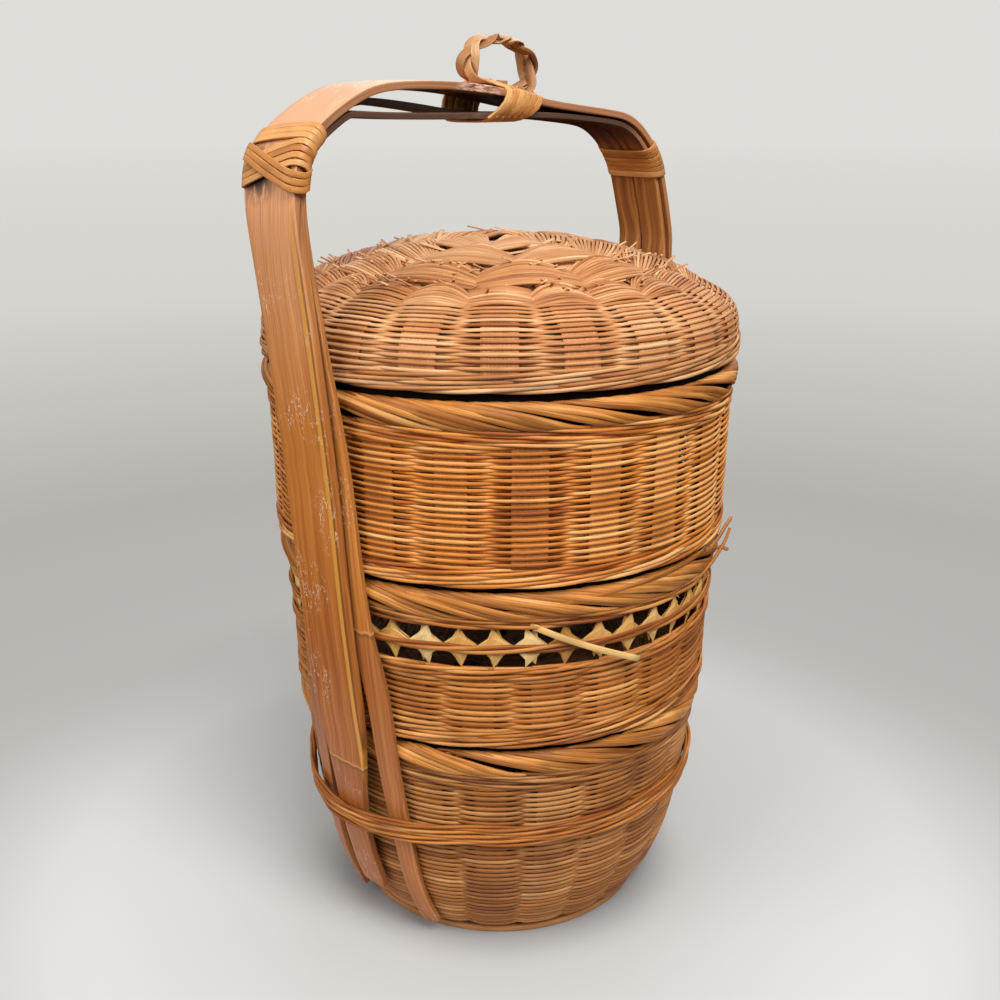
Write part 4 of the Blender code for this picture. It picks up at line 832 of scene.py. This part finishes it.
def strip_bamboo():
    """Split bamboo culm, heat-bent: salmon-orange skin with long streaks that gets lighter towards
    the top, a brown-purple inner side, scratches worn to the pale wood, near-black patches under
    the left lashing, partly stain and partly painted shade in its gaps, a torn patch on the arch,
    and painted shade on the narrow strips under the arch."""
    material, tree, output = new_material("bamboo_culm_split_bent")
    flat = add(tree, "ShaderNodeUVMap", uv_map="UVMap").outputs["UV"]
    spot = add(tree, "ShaderNodeTexCoord").outputs["Object"]
    place = add(tree, "ShaderNodeSeparateXYZ", None, {0: spot})
    aside, height = place.outputs[1], place.outputs[2]
    under, tint, joint = (add(tree, "ShaderNodeAttribute", attribute_name=name).outputs["Fac"]
                          for name in ("under", "tint", "above_joint"))

    # Streaks along the culm by their length and width in metres: broad shades, fine fibres,
    # scratches, the patches of stain and painted shade by the lashing, torn fibres
    streaks = []
    for run, across, detail in ((0.16, 0.0030, 3.0), (0.050, 0.00045, 2.0), (0.016, 0.0065, 3.0),
                                (0.012, 0.0040, 4.0), (0.006, 0.0009, 4.0)):
        scaled = add(tree, "ShaderNodeMapping", {"Scale": (1 / run, 1 / across, 1.0)},
                     {"Vector": flat})
        noise = add(tree, "ShaderNodeTexNoise",
                    {"Scale": 1.0, "Detail": detail, "Roughness": 0.62},
                    {"Vector": scaled.outputs[0]}, noise_dimensions="2D")
        streaks.append(noise.outputs[0])
    broad, fine, scratched, stain_and_shade_streaks, torn_fibres = streaks
    patchy = add(tree, "ShaderNodeTexNoise", {"Scale": 24.0, "Detail": 2.0},
                 {"Vector": spot}).outputs[0]

    # The grain's shade: broad and fine streaks about the strip's own tint
    level = add(tree, "ShaderNodeMath", {1: 0.70, 2: -0.45}, {0: broad},
                operation="MULTIPLY_ADD").outputs[0]
    for source, weight in ((fine, 0.34), (tint, 0.8)):
        level = add(tree, "ShaderNodeMath", {1: weight}, {0: source, 2: level},
                    operation="MULTIPLY_ADD").outputs[0]
    colour, inside, torn_wood = (
        add(tree, "ShaderNodeValToRGB", None, {"Fac": source}, stops).outputs[0]
        for source, stops in (
            (level, ((0.28, "964A14"), (0.50, "B86A28"), (0.62, "CA803C"), (0.80, "E2A664"))),
            (level, ((0.30, "5E3218"), (0.55, "9A602E"), (0.78, "C88A46"))),
            (torn_fibres, ((0.35, "5E3322"), (0.5, "C08F78"), (0.66, "F0D2BC")))))

    # Distances from the lines and spots that mark the strip; the lines by its edge waver
    apart = {}
    for name, source, centre in (
            ("gold_edge", aside, -0.0134), ("gold_rim", aside, -0.0114),
            ("dark_edge", aside, -0.0154), ("scratch", scratched, 0.5), ("seam", joint, 0.0),
            ("groove", joint, -0.0016)):
        offset = add(tree, "ShaderNodeMath", {1: centre}, {0: source}, operation="SUBTRACT")
        apart[name] = add(tree, "ShaderNodeMath", None, {0: offset.outputs[0]},
                          operation="ABSOLUTE").outputs[0]
    for name in ("gold_edge", "gold_rim", "dark_edge"):
        apart[name] = add(tree, "ShaderNodeMath", {1: 0.0008}, {0: broad, 2: apart[name]},
                          operation="MULTIPLY_ADD").outputs[0]
    for name, centre in (("lashing", (-0.1485, 0.008, 0.4065)),
                         ("tear", (-0.034, -0.013, 0.4385))):
        apart[name] = add(tree, "ShaderNodeVectorMath", {1: centre}, {0: spot},
                          operation="DISTANCE").outputs["Value"]

    # How far each mark shows: where it starts, where it is full, and its strength
    share = {}
    for name, source, first, full, strength in (
            # The skin gets lighter towards the top: a little from 0.17 m, and paler in its fine
            # streaks from 0.29 m
            ("lighter_up", height, 0.17, 0.25, 0.28),
            ("paler_up", height, 0.29, 0.40, 0.90),
            ("fibrous", fine, 0.22, 0.62, 1.0),
            ("gold_rim", apart["gold_rim"], 0.0008, 0.0003, 0.6),
            ("arched", height, 0.400, 0.425, 0.80),
            ("leg", height, 0.40, 0.36, 1.0),
            ("gold_edge", apart["gold_edge"], 0.0020, 0.0012, 0.75),
            ("dark_edge", apart["dark_edge"], 0.0013, 0.0008, 0.6),
            ("outside", under, 0.35, 0.10, 1.0),
            ("scratch", apart["scratch"], 0.010, 0.004, 0.8),
            ("worn", patchy, 0.52, 0.58, 1.0),
            # Near-black by the left lashing: partly a stain, partly painted shade in the gaps
            # between its bands
            ("stain_and_shade", stain_and_shade_streaks, 0.36, 0.50, 0.95),
            ("lashing", apart["lashing"], 0.0165, 0.0065, 1.0),
            ("tear", apart["tear"], 0.019, 0.007, 1.0),
            ("below_joint", joint, 0.0008, -0.0012, 0.38),
            ("seam", apart["seam"], 0.0010, 0.0002, 0.55),
            ("groove", apart["groove"], 0.0011, 0.0002, 0.5),
            # A low tint turns near black: painted shade on the narrow strips under the arch
            ("painted_shade", tint, 0.30, 0.0, 0.85)):
        share[name] = add(tree, "ShaderNodeMapRange",
                          {"From Min": first, "From Max": full, "To Max": strength},
                          {"Value": source}).outputs[0]

    # The marks laid over the skin, one on another: where several are named, only where they meet
    for names, coat in (
            (("lighter_up",), "F5A352"), (("paler_up", "fibrous"), "F6B487"), (("arched",), "CA9672"),
            (("gold_rim", "leg"), "8A5222"), (("gold_edge", "leg"), "E2A242"),
            (("dark_edge", "leg"), "5C3A16"), ((), inside),
            (("scratch", "worn", "outside"), "F2D8BC"), (("stain_and_shade", "lashing"), "1A100C"),
            (("tear",), torn_wood), (("below_joint",), "8A5034"), (("seam",), "DCA868"),
            (("groove",), "6A3A20"), (("painted_shade",), "3E2820")):
        amount = share[names[0]] if names else under
        for name in names[1:]:
            amount = add(tree, "ShaderNodeMath", None, {0: amount, 1: share[name]},
                         operation="MULTIPLY").outputs[0]
        links = {0: amount, 6: colour}
        if isinstance(coat, str):
            values = {7: shade(coat)}
        else:
            values, links[7] = None, coat
        colour = add(tree, "ShaderNodeMix", values, links, data_type="RGBA").outputs[2]

    gloss = add(tree, "ShaderNodeMapRange", {"To Min": 0.30, "To Max": 0.55}, {"Value": broad})
    relief = add(tree, "ShaderNodeMath", {1: 0.5}, {0: fine}, operation="MULTIPLY").outputs[0]
    for source, weight in ((broad, 0.8), (share["seam"], 2.0)):
        relief = add(tree, "ShaderNodeMath", {1: weight}, {0: source, 2: relief},
                     operation="MULTIPLY_ADD").outputs[0]
    bump = add(tree, "ShaderNodeBump", {"Strength": 0.6, "Distance": 0.00018},
               {"Height": relief})
    body = add(tree, "ShaderNodeBsdfPrincipled", {"IOR": 1.5, "Specular IOR Level": 0.38},
               {"Base Color": colour, "Roughness": gloss.outputs[0],
                "Normal": bump.outputs[0]})
    tree.links.new(body.outputs[0], output.inputs[0])
    return material


STRIP_BAMBOO = strip_bamboo()


def middle_reach(turned, reach, marks, window):
    """Half way between the nearest and the farthest of the points close to each angle."""
    middles = []
    for mark in marks:
        apart = np.abs(np.angle(np.exp(1j * (turned - mark))))
        close = reach[apart < window]
        middles.append((close.min() + close.max()) / 2)
    return np.array(middles)


def read_points(mesh, what):
    """The places or the normals of a mesh's points, one to a row."""
    values = np.zeros(len(mesh.vertices) * 3)
    mesh.vertices.foreach_get(what, values)
    return values.reshape(-1, 3)


def smooth_strip(name, node):
    """A copy of a strip's solid with an even skin and rounded arrises."""
    sharp = math.radians(38)
    piece = put_in_scene(name, nodes[node].data.copy())
    take_up(piece)
    bpy.ops.object.mode_set(mode="EDIT")
    bpy.ops.mesh.select_all(action="SELECT")
    bpy.ops.mesh.remove_doubles(threshold=0.00002)
    bpy.ops.mesh.tris_convert_to_quads(face_threshold=math.radians(50),
                                       shape_threshold=math.radians(90))
    bpy.ops.mesh.select_all(action="DESELECT")
    bpy.ops.mesh.select_mode(type="EDGE")
    bpy.ops.mesh.edges_select_sharp(sharpness=sharp)
    bpy.ops.transform.edge_crease(value=1.0)
    bpy.ops.object.mode_set(mode="OBJECT")
    soften = piece.modifiers.new("even", "SUBSURF")
    soften.levels = soften.render_levels = 2
    ease = piece.modifiers.new("arris", "BEVEL")
    ease.width = 0.0005
    ease.segments = 2
    ease.limit_method = "ANGLE"
    ease.angle_limit = sharp
    for modifier in ("even", "arris"):
        bpy.ops.object.modifier_apply(modifier=modifier)
    return piece


def dress_strip(name, node, tone, joint, seed, widen=0.0, arch_shade=0.0):
    """A strip of the handle with its grain along it. A joint of the culm crosses it at a height,
    its foot can be cut wider and its arch can be darkened, a painted shade where it lies under the
    wide strip."""
    piece = smooth_strip(name, node)
    mesh = piece.data
    corners = read_points(mesh, "co")
    corners[:, 1] *= 1 + widen * np.clip((0.052 - corners[:, 2]) / 0.024, 0.0, 1.0)
    mesh.vertices.foreach_set("co", corners.ravel())
    mesh.update()

    # The map: along the strip's middle line, and across it and through its thickness
    turned = np.arctan2(corners[:, 0], corners[:, 2] - HANDLE_CENTRE)
    reach = np.hypot(corners[:, 0], corners[:, 2] - HANDLE_CENTRE)
    marks = np.linspace(turned.min(), turned.max(), 90)
    middle = middle_reach(turned, reach, marks, 0.05)
    line = np.stack([middle * np.sin(marks), middle * np.cos(marks)], 1)
    along = np.interp(turned, marks, lengths_along(line))
    proud = reach - np.interp(turned, marks, middle)
    flat = np.stack([along + seed * 0.7, corners[:, 1] + proud * 0.8 + seed * 0.11], 1)
    used = np.zeros(len(mesh.loops), int)
    mesh.loops.foreach_get("vertex_index", used)
    lay_map(mesh, flat[used])

    # What the bamboo's marks follow: the inner side, the shade and the joint, a little wavy
    outward = np.stack([np.sin(turned), np.zeros(len(turned)), np.cos(turned)], 1)
    facing = (read_points(mesh, "normal") * outward).sum(1)
    # Near the top of the narrow strips the tint is lowered: painted shade under the wide strip's
    # arch
    painted_shade = arch_shade * np.clip((corners[:, 2] - 0.4080) / 0.0150, 0, 1)
    mark_points(mesh, "under", np.clip(0.66 - facing * 1.3, 0.0, 1.0))
    mark_points(mesh, "tint", tone - painted_shade)
    mark_points(mesh, "above_joint",
                corners[:, 2] - joint + 0.0006 * np.sin(corners[:, 1] * 900))
    round_shading(mesh)
    hand_over(piece, STRIP_BAMBOO, "base", [node])


# Piece, node, shade, height of the culm's joint, and where its grain starts
dress_strip("handle_wide_strip", STRIPS[0], 0.47, 0.1105, 1, widen=0.6)
dress_strip("handle_narrow_strip_front", STRIPS[1], 0.60, 0.1900, 2, arch_shade=0.62)
dress_strip("handle_narrow_strip_back", STRIPS[2], 0.54, 0.1500, 3, arch_shade=0.62)

# ---------------------------------------------------------------- lashings on the handle
ARCH_STEP = 0.0005          # between the points of the arch line
ARCH_REACH = 1.02           # its ends, as angles to both sides of the top
STACK_TREE = solid_tree(*STRIPS)


def arch_line():
    """The top of the wide strip over the arch, left to right, with tangents."""
    tree = solid_tree(STRIPS[0])
    spots = []
    for turned in np.linspace(-ARCH_REACH, ARCH_REACH, 500):
        outward = Vector((math.sin(turned), 0.0, math.cos(turned)))
        start = Vector((0.0, 0.0, HANDLE_CENTRE)) + outward * 0.4
        hit = tree.ray_cast(start, -outward)[0]
        if hit is not None:
            spots.append((hit.x, hit.z))
    spots = np.array(spots)
    marks = lengths_along(spots)
    where = np.arange(0.0, marks[-1], ARCH_STEP)
    window = bell(np.arange(-12, 13), 5.0)
    soft = np.stack([np.convolve(np.interp(where, marks, spots[:, axis]), window, "valid")
                     for axis in range(2)], 1)
    tangents = np.gradient(soft, axis=0)
    return soft, tangents / np.linalg.norm(tangents, axis=1)[:, None]


ARCH, ARCH_TANGENT = arch_line()


def arch_at(where):
    """Point and upward normal on the arch at a number of metres from its left end."""
    index = min(max(where / ARCH_STEP, 0.0), len(ARCH) - 1.001)
    low, share = int(index), index - int(index)
    spot = ARCH[low] * (1 - share) + ARCH[low + 1] * share
    forward = ARCH_TANGENT[low] * (1 - share) + ARCH_TANGENT[low + 1] * share
    return Vector((spot[0], 0.0, spot[1])), Vector((-forward[1], 0.0, forward[0])).normalized()


def arch_near(x, z):
    """Distance along the arch of its point nearest to a place."""
    return float(np.argmin(np.hypot(ARCH[:, 0] - x, ARCH[:, 1] - z)) * ARCH_STEP)


def stack_depth(spot, upward):
    """Thickness of the stack of strips under a point of the arch."""
    deepest = 0.0
    for aside in (-0.009, 0.009):
        start = spot + Vector((0, aside, 0)) - upward * 0.045
        hit = STACK_TREE.ray_cast(start, upward, 0.06)[0]
        if hit is not None:
            deepest = max(deepest, (spot - hit).dot(upward))
    return deepest


def turn_outline(front, back, below, crown, half):
    """One turn round the stack: (side, across, lift over the top or share of the way down, along)
    over the top, down the back edge, under the strips and up the front edge."""
    slant = below - front
    outline = []
    for across in np.linspace(-1.0, 1.0, 15):
        lift = crown * max(0.0, 1 - (across / 0.62) ** 2) - 0.0009 * across * across
        outline.append(("over", across * half, lift, front + (back - front) * (across + 1) / 2))
    for step in range(1, 4):
        outline.append(("edge", half, step / 4, back + slant * step / 8))
    for across in np.linspace(1.0, -1.0, 9):
        along = back + slant / 2 + (slant + below - back) * (1 - across) / 4
        outline.append(("under", across * half * 0.93, 1.0, along))
    for step in range(1, 4):
        outline.append(("edge", -half, 1 - step / 4, below - slant * step / 4))
    return outline


def lash(strands, centre, bands, width, thickness, crown, tone, seed):
    """Bands of cane turns round the stack of strips, about a place on the arch. Crown is how far
    they bulge over the top."""
    rng = np.random.default_rng(seed)
    half = 0.0174
    for number, front, back, below, edge_step, back_step, proud in bands:
        offset = proud + thickness / 2
        for turn in range(number):
            outline = turn_outline(front - edge_step * turn, back - back_step * turn,
                                   below - edge_step * turn, crown, half)
            points, normals = [], []
            for side, across, shift, along in outline:
                spot, upward = arch_at(centre + along)
                depth = stack_depth(spot, upward)
                if side == "edge":
                    reach = across + math.copysign(offset, across)
                    point = spot + Vector((0, reach, 0)) - upward * (depth * shift)
                    normal = Vector((0, math.copysign(1.0, across), 0))
                else:
                    way, far = (upward, shift) if side == "over" else (-upward, depth)
                    point = spot + Vector((0, across, 0)) + way * (far + offset)
                    normal = (way + Vector((0, across * 12, 0))).normalized()
                points.append(list(point))
                normals.append(list(normal))
            points, normals = np.array(points), np.array(normals)
            for _ in range(2):
                points = 0.6 * points + 0.2 * (np.roll(points, 1, 0) + np.roll(points, -1, 0))
            normals = normals + 0.5 * (np.roll(normals, 1, 0) + np.roll(normals, -1, 0))
            normals /= np.linalg.norm(normals, axis=1)[:, None]
            strands.sweep(points, normals, width * (1 + rng.normal(0, 0.04)), thickness,
                          tone + rng.normal(0, 0.10), True, rng.uniform(0, GRAIN_SHIFT))


# Each lashing: piece, node, its place on the arch, its bands, the cane's width and thickness, its
# bulge over the top, shade and seed. A band: its turns, where the first one lies along the arch
# at the front edge, at the back edge and under the front edge, how far each next turn moves back
# there, and how proud the band lies.
for name, node, (x, z), bands, *cane_sizes in (
        ("left_cane_lashing", "left_shoulder_lashing", (-0.1450, 0.4110),
         [(3, 0.0188, 0.0135, 0.0184, 0.0031, 0.0027, 0.0004),
          (4, 0.0092, -0.0035, 0.0090, 0.0033, 0.0028, 0.0012),
          (3, -0.0062, 0.0056, -0.0060, 0.0032, 0.0027, 0.0021)],
         0.0028, 0.0011, 0.0, 0.55, 81),
        ("right_cane_lashing", "right_shoulder_lashing", (0.1195, 0.4075),
         [(6, 0.0105, 0.0085, 0.0100, 0.0038, 0.0038, 0.0004)],
         0.0032, 0.0014, 0.0, 0.55, 82),
        ("middle_cane_lashing", "centre_lashing", (-0.0030, 0.4440),
         [(6, 0.0155, 0.0080, 0.0085, 0.0046, 0.0046, 0.0004)],
         0.0038, 0.0013, 0.0026, 0.62, 83)):
    lashing = Strands(CUT_BAND)
    lash(lashing, arch_near(x, z), bands, *cane_sizes)
    lashing.finish(name, TIE_CANE, "base", [node])


# ---------------------------------------------------------------- the carrying ring
def plait_ring():
    """The carrying ring: flat splints plaited in three, bent to a loop, with their cut ends left
    standing."""
    rng = np.random.default_rng(91)
    mesh = nodes["carrying_ring"].data
    corners = np.array([list(vertex.co) for vertex in mesh.vertices])
    low, high = corners.min(0), corners.max(0)
    middle_x, middle_z = (low[0] + high[0]) / 2, (low[2] + high[2]) / 2 + 0.001
    turned = np.arctan2(corners[:, 2] - middle_z, corners[:, 0] - middle_x)
    reach = np.hypot(corners[:, 0] - middle_x, corners[:, 2] - middle_z)
    marks = np.linspace(-math.pi, math.pi, 73)[:-1]
    radii = middle_reach(turned, reach, marks, 0.16)
    count = 220
    angle = np.linspace(0.0, math.tau, count, endpoint=False)
    radius = np.interp(angle, np.append(marks + math.pi, math.tau), np.append(radii, radii[0]))
    radius = np.mean([np.roll(radius, step) for step in range(-14, 15)], axis=0)
    turn_at = angle - math.pi

    # Three splints that swing to and fro across the ring, each a third of a swing on
    strands = Strands(CUT_BAND)
    splints, swings, half_swing, roundness = 3, 3, 0.0048, 0.97
    normals = np.stack([np.cos(turn_at), np.zeros(count), np.sin(turn_at)], 1)
    for splint in range(splints):
        phase = swings * angle + splint * math.tau / splints + 0.9
        aside = half_swing * np.arcsin(roundness * np.sin(phase)) / math.asin(roundness)
        out = radius + 0.0017 * np.sin(2 * phase) - 0.0020
        points = np.stack([middle_x + out * np.cos(turn_at), aside,
                           middle_z + out * np.sin(turn_at)], 1)
        strands.sweep(points, normals, 0.0054, 0.0007,
                      0.30 + 0.20 * splint + drift(rng, count, 25, 0.05, True), True,
                      splint * 0.13)

    # The cut ends: angle on the ring, distance aside, and which way each points
    run = np.linspace(0.0, 0.0085, 6)
    for end, (mark, aside, way) in enumerate(((0.05, 0.004, 0.8), (-0.55, -0.0045, -0.9),
                                              (-0.75, 0.004, -0.8))):
        place = np.interp(mark, marks, radii)
        spot = np.array([middle_x + place * math.cos(mark), aside,
                         middle_z + place * math.sin(mark)])
        outward = np.array([math.cos(mark), 0.0, math.sin(mark)])
        ahead = np.array([-math.sin(mark), 0.5 * way, math.cos(mark)]) * way
        points = spot + outward * (run * 0.35 + 0.0008)[:, None] + ahead * (run * 0.8)[:, None]
        strands.sweep(points, np.repeat(outward[None], len(run), 0), 0.0034, 0.0006,
                      0.5 + rng.normal(0, 0.1), shift=end * 0.1)
    strands.finish("carrying_ring_plait", RING_SPLINT, "base", ["carrying_ring"])


plait_ring()


# ---------------------------------------------------------------- loose ends
def loose_strand(strands, way, width, thickness, tint):
    """A strand come loose from the middle tier: (angle in degrees, height, distance out from the
    wall) at a few places."""
    marks = np.linspace(0.0, 1.0, len(way))
    share = np.linspace(0.0, 1.0, 8 * (len(way) - 1) + 1)
    angle, height, out = (np.interp(share, marks, values) for values in zip(*way))
    for _ in range(6):
        for values in (angle, height, out):
            values[1:-1] = 0.5 * values[1:-1] + 0.25 * (values[:-2] + values[2:])
    where = np.interp(height, MIDDLE.line.height, MIDDLE.line.marks)
    points, normals = MIDDLE.line.place(where, np.radians(angle), out)
    strands.sweep(points, normals, width, thickness, tint, shift=float(angle[0]) * 0.01)


straw = Strands(FLAT_SPLINT)
loose_strand(straw, [(-131.0, 0.1990, -0.0005), (-122.0, 0.1910, 0.0035),
                     (-104.5, 0.1755, 0.0068)], 0.0032, 0.0010, 0.62)
straw.finish("middle_loose_straw", PALE_SKIN, "middle", [])

# Three broken twigs on the right and two canes that run over the weave, with their sizes and tint
twigs = Strands(ROUND_CANE)
for way, width, thickness, tint in (
        ([(-72.0, 0.2130, 0.0), (-58.0, 0.2140, 0.0035), (-50.0, 0.2170, 0.0090)],
         0.0026, 0.0020, 0.5),
        ([(-66.0, 0.2080, 0.0), (-56.0, 0.2030, 0.0050), (-49.0, 0.1960, 0.0110)],
         0.0024, 0.0018, 0.6),
        ([(-80.0, 0.1990, 0.0), (-66.0, 0.2050, 0.0030), (-54.0, 0.2120, 0.0080)],
         0.0024, 0.0018, 0.4),
        ([(-142.0, 0.2045, 0.0006), (-120.0, 0.2110, 0.0012), (-98.0, 0.2150, 0.0010),
          (-76.0, 0.2170, 0.0)], 0.0034, 0.0014, 0.30),
        ([(-160.0, 0.2140, 0.0004), (-148.0, 0.2090, 0.0010), (-132.0, 0.2045, 0.0008),
          (-118.0, 0.2030, 0.0)], 0.0030, 0.0013, 0.45)):
    loose_strand(twigs, way, width, thickness, tint)
twigs.finish("middle_loose_canes", EDGE_CANE, "middle", [])


# ---------------------------------------------------------------- floor, light and background
FADE_REACH = 12.0           # metres from the basket at which the backdrop's last tone is reached


def paper_backdrop():
    """Seamless paper, matt: it takes the basket's shadow near by, over a painted contact shadow
    round the foot, and farther off it glows for the camera alone and shows the photograph's soft
    grey bands as they are, painted shade of the backdrop, without light of its own on the object."""
    material, tree, output = new_material("paper_backdrop_matt")
    spot = add(tree, "ShaderNodeTexCoord").outputs["Object"]
    reach = add(tree, "ShaderNodeVectorMath", None, {0: spot},
                operation="LENGTH").outputs["Value"]
    shared = add(tree, "ShaderNodeMath", {1: 1 / FADE_REACH}, {0: reach}, operation="MULTIPLY")
    rooted = add(tree, "ShaderNodeMath", {1: 0.5}, {0: shared.outputs[0]}, operation="POWER")
    # The darkest stops, out to about 0.11 m, are a painted contact shadow round the foot; the grey
    # stops farther out are painted shade of the backdrop
    fade = add(tree, "ShaderNodeValToRGB", None, {"Fac": rooted.outputs[0]},
               [(0.0, "8E8E8E"), (1.0, "DDDCD8"), (0.083, "929292"), (0.0955, "C0C0BE"),
                (0.148, "CACAC8"), (0.174, "BBB9B5"), (0.200, "B9B7B3"), (0.255, "B5B2AE"),
                (0.330, "C4C3BE"), (0.445, "D5D4CF")]).outputs[0]
    paper = add(tree, "ShaderNodeBsdfPrincipled", {"Roughness": 0.9, "Specular IOR Level": 0.2},
                {"Base Color": fade})
    ray = add(tree, "ShaderNodeLightPath")
    glow = add(tree, "ShaderNodeEmission", None,
               {"Color": fade, "Strength": ray.outputs["Is Camera Ray"]})
    far = add(tree, "ShaderNodeMapRange", {"From Min": 0.24, "From Max": 0.42}, {"Value": reach})
    both = add(tree, "ShaderNodeMixShader", None,
               {0: far.outputs[0], 1: paper.outputs[0], 2: glow.outputs[0]})
    tree.links.new(both.outputs[0], output.inputs[0])
    return material


def studio_world():
    """A plain white light from all sides, which the camera and reflections see as pale grey."""
    world = bpy.data.worlds.new("studio")
    world.use_nodes = True
    tree = world.node_tree
    tree.nodes.clear()
    ray = add(tree, "ShaderNodeLightPath")
    seen = add(tree, "ShaderNodeMath", None,
               {0: ray.outputs["Is Camera Ray"], 1: ray.outputs["Is Glossy Ray"]},
               operation="MAXIMUM")
    ambient = add(tree, "ShaderNodeBackground", {"Color": shade("FFFFFF"), "Strength": 0.36})
    backdrop = add(tree, "ShaderNodeBackground", {"Color": shade("DEDDD9"), "Strength": 1.0})
    both = add(tree, "ShaderNodeMixShader", None,
               {0: seen.outputs[0], 1: ambient.outputs[0], 2: backdrop.outputs[0]})
    add(tree, "ShaderNodeOutputWorld", None, {"Surface": both.outputs[0]})
    return world


def lamp(name, power, size, location, target=(0, 0, 0.22)):
    """A soft square lamp pointed at the object."""
    light = bpy.data.objects.new(name, bpy.data.lights.new(name, "AREA"))
    light.data.energy = power
    light.data.size = size
    light.location = location
    light.rotation_euler = (Vector(target) - location).to_track_quat("-Z", "Y").to_euler()
    scene.collection.objects.link(light)


bpy.ops.object.select_all(action="DESELECT")
bpy.ops.mesh.primitive_circle_add(vertices=96, radius=14.0, fill_type="NGON", location=(0, 0, 0))
floor = bpy.context.object
floor.name = "studio_floor"
floor.data.materials.append(paper_backdrop())
scene.world = studio_world()

toward = Vector((math.sin(VIEW_TURN), -math.cos(VIEW_TURN), 0.0))
beside = Vector((math.cos(VIEW_TURN), math.sin(VIEW_TURN), 0.0))
lamp("key_lamp", 25.5, 0.8, toward * 0.95 + beside * 0.45 + Vector((0, 0, 1.35)), (0, 0, 0.28))
lamp("fill_lamp", 15.0, 1.2, toward * 0.9 - beside * 1.2 + Vector((0, 0, 1.0)))
lamp("back_lamp", 7.0, 1.2, -toward * 1.3 + beside * 0.2 + Vector((0, 0, 1.3)))
